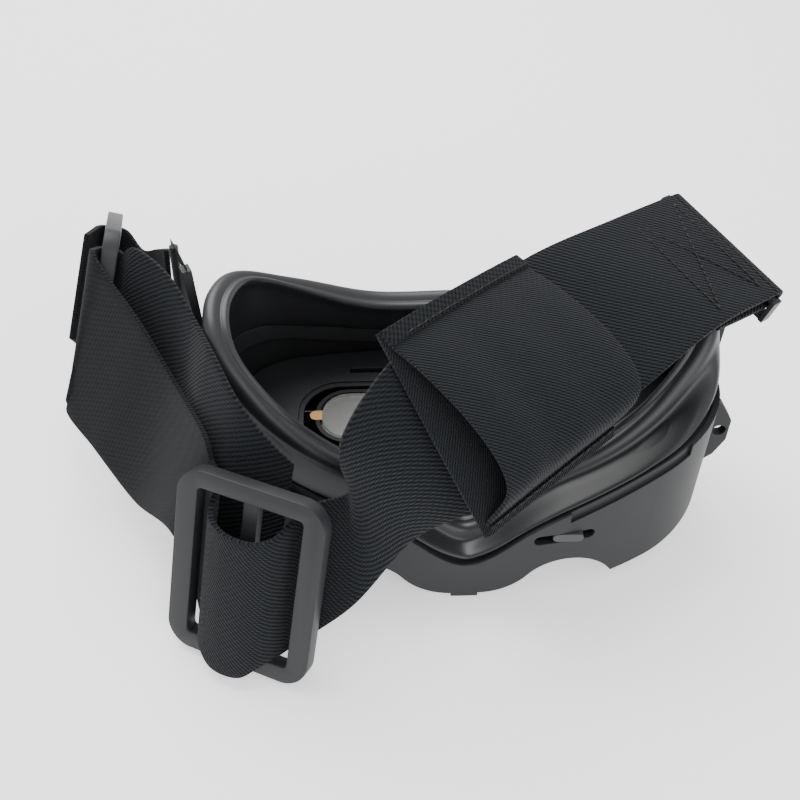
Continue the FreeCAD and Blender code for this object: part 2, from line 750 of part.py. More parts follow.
def make_fan_rotor():
    """Hub with seven tilted blades."""
    hub = Part.makeCylinder(4.0, 5.2, V(0, 0, 1.4))
    blades = []
    for i in range(7):
        blade = Part.makeBox(4.9, 0.7, 4.4, V(3.4, -0.35, 1.5))
        blade.rotate(V(6, 0, 3.7), V(1, 0, 0), 38)
        blade.rotate(V(0, 0, 0), V(0, 0, 1), i * 360 / 7)
        blades.append(blade)
    return hub.fuse(blades)


keep("fan_frame", make_fan_frame(), at(*FAN_SPOT))
rotor = make_fan_rotor()
rotor.translate(V(*FAN_SPOT))
node("fan_rotor", rotor)


def make_jack():
    """Barrel power socket, mouth level with the wall."""
    part = body("jack")
    sk = sketch_on(part, "XZ_Plane", "jack_barrel")
    add_circle(sk, 4.0)
    pad(part, sk, 11.0)
    foot = sketch_on(part, "XZ_Plane", "jack_foot", 2.8)
    add_rectangle(foot, 9.0, 9.6)
    pad(part, foot, 8.0)
    hole = sketch_on(part, "XZ_Plane", "jack_bore", -0.5)
    add_circle(hole, size("jack_bore") / 2)
    pocket(part, hole, 9.5, reverse=True)
    pin = sketch_on(part, "XZ_Plane", "jack_pin", 1.0)
    add_circle(pin, 1.05)
    pad(part, pin, 9.0)
    return part


keep("power_jack", make_jack(), at(JACK_X, far_wall_y(JACK_X) - 0.2, PORT_LEVEL))


def make_antenna_ports():
    """Two threaded coaxial sockets, each with its hexagon nut against the wall."""
    shapes = []
    for x in SMA_XS:
        y = far_wall_y(x)
        barrel = Part.makeCylinder(size("sma_diameter") / 2, 17, V(x, y - 7.5, PORT_LEVEL), V(0, 1, 0))
        collar = Part.makeCylinder(4.6, 2.0, V(x, y - size("wall") - 2.7, PORT_LEVEL), V(0, 1, 0))
        corners = []
        for k in range(7):
            turn = math.radians(60 * k)
            corners.append(V(x + 4.6 * math.cos(turn), y + 0.5, PORT_LEVEL + 4.6 * math.sin(turn)))
        nut = Part.Face(Part.makePolygon(corners)).extrude(V(0, 2.0, 0))
        socket = barrel.fuse([collar, nut])
        shapes.append(socket.cut(Part.makeCylinder(1.9, 6, V(x, y + 4.5, PORT_LEVEL), V(0, 1, 0))))
    return shapes


keep("antenna_sockets", group("antenna_sockets", make_antenna_ports()))


def make_round_button(radius, flange):
    part = body("button")
    sk = sketch_on(part, "XZ_Plane", "cap", 0.0)
    add_circle(sk, radius)
    pad(part, sk, 5.0)
    rim = sketch_on(part, "XZ_Plane", "flange", 5.0)
    add_circle(rim, flange)
    pad(part, rim, 1.0)
    return part


BUTTON_PROUD = 1.5
keep("power_button", make_round_button(3.8, 5.0), at(POWER_X, far_wall_y(POWER_X) + BUTTON_PROUD, PORT_LEVEL))
keep("record_button", make_round_button(2.8, 4.0), at(RECORD_X, far_wall_y(RECORD_X) + BUTTON_PROUD, PORT_LEVEL))


ROCKER_DEPTH = 3.9     # pin of the rocker, inside the outer face of the wall


def make_rocker():
    """Two-way key for the channel, on a short pin in its middle."""
    y = far_wall_y(ROCKER_X)
    key = Part.makeBox(13.6, 4.2, 4.6, V(ROCKER_X - 6.8, y - 2.9, PORT_LEVEL - 2.3))
    dish = Part.makeCylinder(26.0, 8, V(ROCKER_X, y + 26.6, PORT_LEVEL - 4), V(0, 0, 1))
    pin = Part.makeCylinder(0.9, 8.6, V(ROCKER_X, y - ROCKER_DEPTH, PORT_LEVEL - 4.3), V(0, 0, 1))
    web = Part.makeCylinder(1.7, 4.6, V(ROCKER_X, y - ROCKER_DEPTH, PORT_LEVEL - 2.3), V(0, 0, 1))
    return key.cut(dish).fuse([pin, web]).removeSplitter()


node("channel_rocker", make_rocker())


def make_rocker_bracket():
    y = far_wall_y(ROCKER_X) - ROCKER_DEPTH
    shapes = []
    for low in (PORT_LEVEL - 4.6, PORT_LEVEL + 2.9):
        arm = Part.makeBox(5, 3.6, 1.7, V(ROCKER_X - 2.5, y - 2.0, low))
        shapes.append(arm)
    back = Part.makeBox(5, 1.2, 9.2, V(ROCKER_X - 2.5, y - 3.2, PORT_LEVEL - 4.6))
    bracket = back.fuse(shapes)
    hole = Part.makeCylinder(0.95, 20, V(ROCKER_X, y, PORT_LEVEL - 10), V(0, 0, 1))
    return bracket.cut(hole).removeSplitter()


node("rocker_bracket", make_rocker_bracket())


# ---------------------------------------------------------------- webbing
def unit(v):
    w = V(v)
    w.normalize()
    return w


def smooth(points, steps):
    """Points along a smooth curve through the given ones."""
    curve = Part.BSplineCurve()
    curve.interpolate(points)
    first, last = curve.FirstParameter, curve.LastParameter
    return [curve.value(first + (last - first) * i / steps) for i in range(steps + 1)]


def ribbon(pairs, steps, thickness=None):
    """A strip of webbing through pairs of edge points (upper edge, lower edge), as one solid."""
    thick = size("web_thickness") if thickness is None else thickness
    uppers = smooth([V(*u) for u, low in pairs], steps)
    lowers = smooth([V(*low) for u, low in pairs], steps)
    middles = [(a + b) * 0.5 for a, b in zip(uppers, lowers)]
    wires = []
    for i in range(steps + 1):
        along = middles[min(i + 1, steps)] - middles[max(i - 1, 0)]
        normal = unit(along.cross(lowers[i] - uppers[i])) * (thick / 2)
        corners = [uppers[i] + normal, lowers[i] + normal, lowers[i] - normal, uppers[i] - normal]
        wires.append(Part.makePolygon(corners + [corners[0]]))
    return outward(Part.makeLoft(wires, True, True))


# The adjuster buckle stands on its lower rail in front of the left cheek and leans back.
BUCKLE_AT = V(-69.5, -57.5, 30.5)
BUCKLE_TURN = FreeCAD.Rotation(V(0, 0, 1), -24.8).multiply(FreeCAD.Rotation(V(1, 0, 0), -21.7))
BUCKLE = FreeCAD.Placement(BUCKLE_AT, BUCKLE_TURN)


def on_buckle(x, y, z):
    """A point in the buckle's own directions: along its width, out of its back face, up its height."""
    p = BUCKLE.multVec(V(x, y, z))
    return (p.x, p.y, p.z)


def buckle_pair(x, y, half=None):
    h = size("web_width") / 2 if half is None else half
    return (on_buckle(x, y, h), on_buckle(x, y, -h))


def make_triglide(name):
    """Three-bar slide: an outer ring with round corners and a thinner middle bar."""
    part = body(name)
    sk = sketch_on(part, "XZ_Plane", name + "_ring")
    add_rounded(sk, size("buckle_width"), size("buckle_height"), 9.0)
    pad(part, sk, "buckle_thickness", symmetric=True)
    hole = sketch_on(part, "XZ_Plane", name + "_window")
    wide = size("buckle_width") - 2 * size("buckle_bar")
    tall = size("buckle_height") - 2 * size("buckle_rail")
    add_rounded(hole, wide, tall, 1.5)
    pocket(part, hole, 20.0, symmetric=True)
    bar = sketch_on(part, "XZ_Plane", name + "_bar")
    add_rectangle(bar, size("buckle_centre_bar"), tall + 2.0)
    pad(part, bar, 3.6, symmetric=True)
    return part


keep("adjuster_buckle", make_triglide("adjuster"), BUCKLE)

# The webbing crosses the middle bar with its lower edge sagging in front of the lower rail. It enters behind
# the right rail and leaves behind the left one, askew both times.
ENTRY = (on_buckle(17.0, 6.6, 28.5), on_buckle(21.0, 6.6, -18))
EXIT = (on_buckle(-19.6, 7.4, 31.0), on_buckle(-23.6, 7.8, -11.5))
CROSSING = [
    ENTRY,
    (on_buckle(13.6, 3.6, 25.0), on_buckle(13.8, 3.6, -25.0)),
    (on_buckle(12.0, -0.6, 22.0), on_buckle(12.2, -0.6, -25.4)),
    (on_buckle(9.8, -4.8, 19.0), on_buckle(9.8, -5.0, -27.0)),
    (on_buckle(5.2, -7.0, 17.0), on_buckle(5.2, -7.2, -31.5)),
    (on_buckle(-0.5, -7.6, 16.5), on_buckle(-0.5, -7.8, -32.5)),
    (on_buckle(-6.2, -7.0, 17.0), on_buckle(-6.2, -7.2, -31.5)),
    (on_buckle(-11.2, -4.8, 19.0), on_buckle(-11.2, -5.0, -27.0)),
    (on_buckle(-13.6, -0.6, 22.0), on_buckle(-13.8, -0.6, -25.2)),
    (on_buckle(-14.6, 3.6, 25.0), on_buckle(-15.0, 3.6, -25.0)),
    (on_buckle(-17.2, 6.2, 29.0), on_buckle(-18.0, 6.4, -24.0)),
    EXIT,
]

# Long strap: sewn end by the right temple, over the opening, down to the buckle, over its middle bar and
# out behind the left bar. Each pair is (upper edge, lower edge).
LONG_STRAP = [
    ((74, 47, 98.5), (102, 9, 84.5)),
    ((50.5, 30.5, 100), (78.5, -7, 84.5)),
    ((20, 9, 101), (51, -27.5, 76.5)),
    ((-3, -13, 100), (26, -42, 66)),
    ((-26, -37, 96), (2, -54.5, 57)),
    ((-38.5, -54.5, 84), (-17.5, -54.5, 43.5)),
    (on_buckle(26.0, 9.5, 34), on_buckle(33.0, 8.5, -3)),
    ENTRY,
]
node("long_strap", ribbon(LONG_STRAP, 28))
node("strap_crossing", ribbon(CROSSING, 36))

# ---------------------------------------------------------------- second buckle, short strap and clips
WEB_UP = unit(V(0.245, 0.42, 0.874))           # along the width of the webbing at the second buckle
RING_ALONG = unit(V(-0.207, 0.903, -0.376))     # from its near bar to its far bar
NEAR_BAR = V(-123.6, 26.4, 64.6)


def frame_placement(origin, along, up):
    """A placement whose X axis lies along one direction and whose Z axis is as near as can be to another."""
    x = unit(along)
    y = unit(up.cross(x))
    z = x.cross(y)
    matrix = FreeCAD.Matrix(x.x, y.x, z.x, origin.x, x.y, y.y, z.y, origin.y, x.z, y.z, z.z, origin.z)
    return FreeCAD.Placement(matrix)


RING_CENTRE = NEAR_BAR + RING_ALONG * (size("buckle_width") / 2 - size("buckle_bar") / 2)
RING = frame_placement(RING_CENTRE, RING_ALONG, WEB_UP)
keep("rear_buckle", make_triglide("rear"), RING)


def on_ring(x, y, z):
    p = RING.multVec(V(x, y, z))
    return (p.x, p.y, p.z)


def ring_pair(x, y, half=25.0):
    return (on_ring(x, y, half), on_ring(x, y, -half))


# From the adjuster the webbing runs back to the near bar of the second buckle, turns round it and returns on
# the inside to the adjuster.
TURN = ring_pair(-14.0, 0.0)
FRONT_BAND = [
    EXIT,
    (on_buckle(-23.0, 9.5, 36), on_buckle(-33.0, 10.0, -1.0)),
    ((-94.5, -2.0, 62.5), (-112.0, -16, 19.5)),
    ((-106, 13.5, 74.5), (-127, -0.5, 31)),
    ((-117.5, 27, 84), (-136.5, 9.5, 39.5)),
    ring_pair(-25.5, 5.6), ring_pair(-20.0, 4.7), ring_pair(-15.7, 2.9), ring_pair(-14.0, 0.9), TURN,
]
BACK_BAND = [
    TURN, ring_pair(-14.0, -0.9), ring_pair(-15.7, -2.9), ring_pair(-20.5, -4.7),
    ((-109, 35.5, 89.0), (-121.5, 14.5, 44.0)),
    ((-97.0, 24.5, 86.5), (-109.5, 6.5, 41)),
    ((-86.8, 8.6, 79.5), (-99.3, -6.2, 33.5)),
    ((-79.0, -8.5, 79), (-91.5, -26, 33)),
    ((-70, -25, 73), (-81.5, -41.5, 27)),
    ((-61, -32.5, 64), (-71, -47, 18)),
    ((-54, -35, 56), (-63.5, -47.5, 10)),
]
node("strap_front_band", ribbon(FRONT_BAND, 32))
node("strap_back_band", ribbon(BACK_BAND, 32))

# The short strap is sewn round the far bar of the second buckle and runs forward to the left clip.
far_bar = size("buckle_width") / 2 - size("buckle_bar") / 2
SHORT_STRAP = [
    (on_ring(far_bar - 15.0, 9.0, 24), on_ring(far_bar - 15.0, 9.0, -16)),
    (on_ring(far_bar - 6.0, 7.0, 24.5), on_ring(far_bar - 6.0, 7.0, -20)),
    (on_ring(far_bar + 2.5, 4.8, 25), on_ring(far_bar + 2.5, 4.8, -24)),
    ring_pair(far_bar + 6.0, 0.8),
    ring_pair(far_bar + 3.0, -4.8),
    ((-116.5, 72.5, 63.0), (-124.5, 57.5, 17.0)),
    ((-109.0, 66.0, 67.5), (-115.5, 54.5, 19.5)),
    ((-103.0, 56.0, 74.5), (-107.0, 48.0, 26.0)),
    ((-101.2, 47.5, 79.5), (-103.6, 42.0, 30.5)),
]
node("short_strap", ribbon(SHORT_STRAP, 30))

# Directions at the sewn end of the long strap: outwards along it, across it and square to it, downwards.
END_UPPER = V(*LONG_STRAP[0][0])
END_LOWER = V(*LONG_STRAP[0][1])
END_WIDTH = (END_LOWER - END_UPPER).Length
END_ACROSS = unit(END_LOWER - END_UPPER)
END_ALONG = unit(END_UPPER + END_LOWER - V(*LONG_STRAP[1][0]) - V(*LONG_STRAP[1][1]))
END_UNDER = unit(END_ALONG.cross(END_ACROSS))
BAR_UNDER = 3.0        # the clip's bar lies this far under the strap's middle layer


def loft_boxes(sections):
    """A solid through rectangles given as (centre, half width along a, a, half width along b, b)."""
    wires = []
    for centre, wide, a, thick, b in sections:
        c = V(*centre)
        a, b = unit(V(*a)) * wide, unit(V(*b)) * thick
        corners = [c + a + b, c - a + b, c - a - b, c + a - b]
        wires.append(Part.makePolygon(corners + [corners[0]]))
    return outward(Part.makeLoft(wires, True, True))


def clip_eye(side):
    """Flat round eye of a clip against the side wall, with the hole for its pivot pin."""
    x = side * (size("half_width") + 0.4)
    return Part.makeCylinder(6.0, 2.6, V(x, PIVOT_Y, PIVOT_Z), V(side, 0, 0))


def make_left_clip():
    """The clip widens from its pivot to a rail, and two lugs hold the bar that the short strap hangs on."""
    x = -(size("half_width") + 1.7)
    upright = (0.02, 0.1, 1)
    arm = loft_boxes([((x, PIVOT_Y, PIVOT_Z), 5.0, upright, 1.3, (1, 0, 0)),
                      ((x, PIVOT_Y + 5.5, PIVOT_Z + 1), 6.0, upright, 1.3, (1, 0.1, 0)),
                      ((-89.2, 25, 50), 10.0, upright, 1.3, (1, 0.25, 0)),
                      ((-92.6, 31.0, 54), 26.0, upright, 1.7, (1, 0.4, 0)),
                      ((-94.2, 34.0, 54.4), 26.5, upright, 1.7, (1, 0.5, 0))])
    lugs = []
    for level in (-26.2, 26.2):
        near = V(-93.8, 33.2, 54.3) + V(*upright) * level
        far = V(-98.6, 43.5, 54.8) + V(*upright) * (level + 1.0)
        lugs.append(loft_boxes([(near, 3.4, (0.5, -1, 0), 1.5, upright), (far, 3.4, (0.5, -1, 0), 1.5, upright)]))
    foot = V(-98.6, 43.5, 54.8) - V(*upright) * 27.5
    bar = Part.makeCylinder(1.6, 55, foot, V(*upright))
    return arm.fuse([clip_eye(-1), bar] + lugs).cut(pivot_bore(-1)).removeSplitter()


def make_right_clip():
    """The clip climbs past the temple to a rail, whose two lugs hold the bar inside the sewn end."""
    x = size("half_width") + 1.7
    middle = (END_UPPER + END_LOWER) * 0.5
    rail_at = middle + END_UNDER * 10.0
    along, across, under = tuple(END_ALONG), tuple(END_ACROSS), tuple(END_UNDER)
    arm = loft_boxes([((x, PIVOT_Y, PIVOT_Z), 5.0, (0, 1, 0), 1.3, (1, 0, 0)),
                      ((x, PIVOT_Y + 0.8, PIVOT_Z + 6), 5.0, (0, 1, 0), 1.3, (1, 0, 0)),
                      ((89.4, 20, 66), 5.5, (0, 1, 0), 1.3, (1, 0, 0)),
                      (tuple(rail_at - V(0, 0, 3.0)), 9.0, across, 1.3, along),
                      (tuple(rail_at), 12.0, across, 1.4, along)])
    half = END_WIDTH / 2 + 1.3
    pieces = [clip_eye(1)]
    for end in (-half, half):
        low = rail_at + END_ACROSS * end
        high = middle + END_UNDER * 2.0 + END_ACROSS * end
        pieces.append(loft_boxes([(tuple(low + END_UNDER * 1.4), 0.8, across, 1.9, along),
                                  (tuple(high), 0.8, across, 1.9, along)]))
    start = rail_at - END_ACROSS * half
    pieces.append(loft_boxes([(tuple(start), 1.4, under, 1.4, along),
                              (tuple(start + END_ACROSS * 2 * half), 1.4, under, 1.4, along)]))
    bar_start = middle + END_UNDER * BAR_UNDER - END_ACROSS * half
    pieces.append(Part.makeCylinder(1.3, 2 * half, bar_start, END_ACROSS))
    return arm.fuse(pieces).cut(pivot_bore(1)).removeSplitter()


node("left_clip", make_left_clip())
node("right_clip", make_right_clip())


def make_clip_pins():
    shapes = []
    for side in (-1, 1):
        x = side * (size("half_width") - size("wall"))
        shank = Part.makeCylinder(PIVOT_RADIUS, 5.4, V(x, PIVOT_Y, PIVOT_Z), V(side, 0, 0))
        head = Part.makeCylinder(3.4, 1.2, V(side * (size("half_width") + 3.1), PIVOT_Y, PIVOT_Z), V(side, 0, 0))
        shapes.append(shank.fuse(head))
    return shapes


keep("clip_pins", group("clip_pins", make_clip_pins()))

# ---------------------------------------------------------------- sewn end and battery pocket
SLEEVE_OUT = unit(V(0.717, -0.15, 0.68))        # the way the slack of the sleeve leans off the strap


def end_pair(along, under):
    """Edge points of the folded end, beyond the last pair of the long strap and under it."""
    move = END_ALONG * along + END_UNDER * under
    return (tuple(END_UPPER + move), tuple(END_LOWER + move))


SEWN_END = [end_pair(0, 0), end_pair(3.0, 0.8), end_pair(4.4, 3.0), end_pair(3.0, 5.2), end_pair(0, 6.0),
            end_pair(-12, 5.2), end_pair(-26, 3.6)]
node("strap_sewn_end", ribbon(SEWN_END, 22))


def pocket_wire(upper, lower, belly, inset, along):
    """One slanting section of the sleeve: flat against the strap, slack on the outside, fullest low down."""
    u, low = V(*upper), V(*lower)
    across = unit(low - u)
    lift = SLEEVE_OUT * (POCKET_LIFT + inset)
    reach = (low - u).Length
    outline = [(0.0 + inset * 1.5, 0.0), (0.22 * reach, belly * 0.43), (0.46 * reach, belly * 0.8),
               (0.64 * reach, belly * 0.97), (0.76 * reach, belly), (0.86 * reach - inset * 0.5, belly * 0.88),
               (0.93 * reach - inset, belly * 0.45), (reach - inset * 1.5, 0.0)]
    points = [u + across * a + lift + SLEEVE_OUT * max(0.0, b + 1.3 - 2 * inset) for a, b in outline]
    back = [low - across * inset * 1.5 + lift, u + across * inset * 1.5 + lift]
    points = [p + along for p in points + back]
    return Part.makePolygon(points + [points[0]])


POCKET_RIGHT = ((12.8, 5.6, 102.1), (38.7, -41.4, 70.0))
POCKET_MIDDLE = ((-8.2, -13.0, 103.4), (19.8, -54.0, 63.4))
POCKET_LEFT = ((-29.3, -31.5, 103.1), (0.8, -66.6, 56.2))
POCKET_BELLY = (17.0, 16.0, 15.0)
POCKET_LIFT = 1.8      # along the lean of the slack, off the strap


def make_pocket():
    stations = list(zip((POCKET_RIGHT, POCKET_MIDDLE, POCKET_LEFT), POCKET_BELLY))
    beyond = V(*POCKET_RIGHT[0]) - V(*POCKET_LEFT[0])
    beyond = unit(beyond) * 2.0
    nothing = V(0, 0, 0)
    outer = [pocket_wire(u, low, b, 0.0, nothing) for (u, low), b in stations]
    inner = [pocket_wire(u, low, b, 1.3, nothing) for (u, low), b in stations]
    first = pocket_wire(*POCKET_RIGHT, POCKET_BELLY[0], 1.3, beyond)
    last = pocket_wire(*POCKET_LEFT, POCKET_BELLY[2], 1.3, beyond * -1)
    skin = outward(Part.makeLoft(outer, True, True))
    room = outward(Part.makeLoft([first] + inner + [last], True, True))
    return skin.cut(room)


node("battery_pocket", make_pocket())

# ---------------------------------------------------------------- checks and files
doc.recompute()
for obj in NODES:
    state = list(obj.State)
    if "Invalid" in state or "Error" in state:
        raise RuntimeError("%s did not compute: %s" % (obj.Label, state))
    if obj.Shape.isNull() or not obj.Shape.isValid():
        raise RuntimeError("%s has no valid shape" % obj.Label)

os.makedirs("parts", exist_ok=True)
for obj in NODES:
    obj.Shape.exportStep("parts/%s.step" % obj.Label)
print("wrote", len(NODES), "pieces")
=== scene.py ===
# %% [markdown]
# Video goggles for flying model aircraft, lying on their front with the head strap thrown over them. The
# hard pieces come in as a fixed frame of finished solids. This lesson gives them their finishes, and models
# what is soft: the rubber face seal, the elastic webbing, its sewn sleeve, the stitches and a loose thread.

# %% The fixed frame
import bpy
import math
import random
import numpy as np
from mathutils import Matrix, Vector


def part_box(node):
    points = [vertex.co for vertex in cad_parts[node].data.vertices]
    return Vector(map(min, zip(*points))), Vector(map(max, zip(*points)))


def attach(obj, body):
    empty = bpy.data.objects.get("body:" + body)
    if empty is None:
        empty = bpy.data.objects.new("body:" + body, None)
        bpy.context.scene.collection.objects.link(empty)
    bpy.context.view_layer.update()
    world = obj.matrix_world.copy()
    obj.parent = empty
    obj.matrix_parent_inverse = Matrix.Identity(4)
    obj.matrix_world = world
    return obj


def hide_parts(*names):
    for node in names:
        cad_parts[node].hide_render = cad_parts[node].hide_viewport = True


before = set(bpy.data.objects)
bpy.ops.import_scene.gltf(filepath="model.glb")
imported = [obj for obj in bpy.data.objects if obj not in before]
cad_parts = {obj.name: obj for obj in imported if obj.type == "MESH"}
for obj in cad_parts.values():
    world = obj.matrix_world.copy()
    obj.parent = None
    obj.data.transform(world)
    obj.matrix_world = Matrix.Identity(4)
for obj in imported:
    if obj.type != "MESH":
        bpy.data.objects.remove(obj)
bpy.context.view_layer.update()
print("frame pieces:", len(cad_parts))
MM = 0.001
random.seed(7)

# %% [markdown]
# The goggles lie in product light: a white room, one big soft lamp over the table and a weaker
# one from the front, so black rubber and black webbing still show their round shapes. The camera stands in
# front of the nose side, 43 degrees above the table and close, which makes the buckle look large.

# %% Room, light and camera
bpy.ops.mesh.primitive_plane_add(size=6.0, location=(0, 0, -0.0004))
floor = bpy.context.object
floor.name = "floor"

paper = bpy.data.materials.new("white_photo_card")
paper.use_nodes = True
card = paper.node_tree.nodes["Principled BSDF"]
card.inputs["Base Color"].default_value = (0.93, 0.93, 0.93, 1.0)
card.inputs["Roughness"].default_value = 0.9
card.inputs["Emission Color"].default_value = (1.0, 1.0, 1.0, 1.0)
card.inputs["Emission Strength"].default_value = 0.72
floor.data.materials.append(paper)

world = bpy.data.worlds.new("white_room")
bpy.context.scene.world = world
world.use_nodes = True
world.node_tree.nodes["Background"].inputs["Color"].default_value = (1.0, 1.0, 1.0, 1.0)
world.node_tree.nodes["Background"].inputs["Strength"].default_value = 1.0


def soft_lamp(name, place, target, size, watts):
    """A square lamp turned towards a point."""
    bpy.ops.object.light_add(type="AREA", location=place)
    lamp = bpy.context.object
    lamp.name = name
    lamp.data.size = size
    lamp.data.energy = watts
    lamp.rotation_euler = (Vector(target) - Vector(place)).to_track_quat("-Z", "Y").to_euler()


soft_lamp("lamp_over", (-0.25, 0.55, 1.0), (0, 0, 0.04), 0.9, 16.0)
soft_lamp("lamp_front", (0.5, -0.9, 0.7), (0, 0, 0.04), 0.8, 6.0)

camera_data = bpy.data.cameras.new("camera")
camera_data.lens = 45.0
camera_data.sensor_width = 36.0
camera_data.clip_start = 0.01
camera = bpy.data.objects.new("camera", camera_data)
bpy.context.collection.objects.link(camera)
camera.location = (-0.02774, -0.24753, 0.28056)
aim = Vector((-0.0201, 0.00979, 0.04049)) - camera.location
camera.rotation_euler = aim.to_track_quat("-Z", "Y").to_euler()
bpy.context.scene.camera = camera
print("camera distance %.3f m" % aim.length)

# %% [markdown]
# A finish is a small network of nodes. One function adds a node, sets it up and links it, so that each
# finish below reads as a list of what happens to the surface.

# %% Colour and node helpers
def colour(hex_code):
    """An sRGB hex value as the linear colour a shader wants."""
    parts = [int(hex_code[i:i + 2], 16) / 255 for i in (1, 3, 5)]
    linear = [p / 12.92 if p <= 0.04045 else ((p + 0.055) / 1.055) ** 2.4 for p in parts]
    return (*linear, 1.0)


def add_node(tree, kind, settings=None, **links):
    """Adds a node. Settings name its properties or inputs; links give inputs an output or a value."""
    made = tree.nodes.new(kind)
    for key, value in (settings or {}).items():
        if hasattr(made, key):
            setattr(made, key, value)
        else:
            made.inputs[key].default_value = value
    for key, value in links.items():
        socket = made.inputs[int(key[1:])] if key[0] == "i" and key[1:].isdigit() else made.inputs[key]
        if isinstance(value, bpy.types.NodeSocket):
            tree.links.new(value, socket)
        else:
            socket.default_value = value
    return made


def new_finish(name, **shader):
    """A material with its shader's constants set, ready for its colour and bump."""
    finish = bpy.data.materials.new(name)
    finish.use_nodes = True
    principled = finish.node_tree.nodes["Principled BSDF"]
    for key, value in shader.items():
        principled.inputs[key.replace("_", " ")].default_value = value
    return finish, finish.node_tree, principled


def mix_colours(tree, factor, dark, light):
    """A colour between two, by a factor from a pattern."""
    ramp = add_node(tree, "ShaderNodeValToRGB", None, Fac=factor)
    ramp.color_ramp.elements[0].color = colour(dark)
    ramp.color_ramp.elements[1].color = colour(light)
    return ramp.outputs["Color"]


def shade_between(tree, factor, tone, share):
    """A colour between a darker share of one tone and the tone itself, by a factor from a pattern."""
    ramp = add_node(tree, "ShaderNodeValToRGB", None, Fac=factor)
    ramp.color_ramp.elements[0].color = tuple(c * share for c in colour(tone)[:3]) + (1.0,)
    ramp.color_ramp.elements[1].color = colour(tone)
    return ramp.outputs["Color"]


# %% [markdown]
# Moulded plastic keeps the texture of its steel mould: a fine spark-eroded grain, a little coarser on the
# housing than on the buckles. Its edges are never sharp, so the shading is rounded where two faces meet.
# The grain is drawn at 0.35 mm, and small smudges change the gloss as fingers do.

# %% Moulded plastics
def moulded(name, dark, light, roughness, grain_mm, depth_mm, edge_mm=0.5):
    """Plastic with mould grain, faint smudges and softened edges."""
    finish, tree, principled = new_finish(name, IOR=1.5, Roughness=roughness, Specular_IOR_Level=0.3)
    place = add_node(tree, "ShaderNodeTexCoord").outputs["Object"]
    grain = add_node(tree, "ShaderNodeTexNoise", {"Scale": 1 / (grain_mm * MM), "Detail": 2.0}, Vector=place)
    smudge = add_node(tree, "ShaderNodeTexNoise", {"Scale": 38.0, "Detail": 4.0}, Vector=place)
    tone = mix_colours(tree, smudge.outputs["Fac"], dark, light)
    tree.links.new(tone, principled.inputs["Base Color"])
    gloss = add_node(tree, "ShaderNodeMapRange", {"To Min": roughness - 0.07, "To Max": roughness + 0.08},
                     Value=smudge.outputs["Fac"])
    tree.links.new(gloss.outputs["Result"], principled.inputs["Roughness"])
    soft_edge = add_node(tree, "ShaderNodeBevel", {"samples": 6, "Radius": edge_mm * MM})
    bump = add_node(tree, "ShaderNodeBump", {"Strength": 0.6, "Distance": depth_mm * MM},
                    Height=grain.outputs["Fac"], Normal=soft_edge.outputs["Normal"])
    tree.links.new(bump.outputs["Normal"], principled.inputs["Normal"])
    return finish


housing_abs = moulded("moulded_grey_abs", "#1f2022", "#262729", 0.52, 0.35, 0.05, 0.7)
visor_abs = moulded("moulded_dark_abs", "#18191b", "#202123", 0.50, 0.35, 0.05, 0.5)
inner_abs = moulded("satin_black_abs", "#262729", "#2d2e30", 0.42, 0.5, 0.02, 0.4)
barrel_abs = moulded("matt_black_abs", "#141516", "#1b1c1d", 0.62, 0.4, 0.04, 0.3)
button_abs = moulded("satin_grey_abs", "#3c3e40", "#46484a", 0.45, 0.35, 0.03, 0.4)
buckle_nylon = moulded("moulded_black_nylon", "#252729", "#2e3032", 0.46, 0.30, 0.04, 0.6)
clip_nylon = moulded("moulded_dark_nylon", "#232527", "#2d2f31", 0.40, 0.30, 0.04, 0.5)
jack_abs = moulded("black_socket_abs", "#0c0c0d", "#121213", 0.35, 0.4, 0.02, 0.2)
print("plastics:", len(bpy.data.materials))

# %% [markdown]
# The face seal is one piece of soft black rubber with a smooth satin skin. A broad sheen follows its curves,
# and dust and skin oil leave slow changes of gloss, so the gloss comes from a large soft noise.

# %% Rubber
def soft_rubber():
    """Smooth black rubber whose gloss drifts slowly over the surface."""
    finish, tree, principled = new_finish("satin_black_rubber", IOR=1.52, Roughness=0.4)
    place = add_node(tree, "ShaderNodeTexCoord").outputs["Object"]
    slow = add_node(tree, "ShaderNodeTexNoise", {"Scale": 24.0, "Detail": 3.0}, Vector=place)
    fine = add_node(tree, "ShaderNodeTexNoise", {"Scale": 1 / (0.5 * MM), "Detail": 1.0}, Vector=place)
    tone = mix_colours(tree, slow.outputs["Fac"], "#1b1c1e", "#242528")
    tree.links.new(tone, principled.inputs["Base Color"])
    gloss = add_node(tree, "ShaderNodeMapRange", {"To Min": 0.34, "To Max": 0.5}, Value=slow.outputs["Fac"])
    tree.links.new(gloss.outputs["Result"], principled.inputs["Roughness"])
    bump = add_node(tree, "ShaderNodeBump", {"Strength": 0.35, "Distance": 0.02 * MM},
                    Height=fine.outputs["Fac"])
    tree.links.new(bump.outputs["Normal"], principled.inputs["Normal"])
    return finish


rubber = soft_rubber()

# %% [markdown]
# Elastic webbing is a twill: cords of textured polyester cross the band at a slant and each one is broken
# into short loops by the rubber threads under it. The ribs are 1.7 mm apart on the strap and 1.35 mm on the
# sleeve. Both are drawn from the piece's own map, whose units are metres along and across the band.

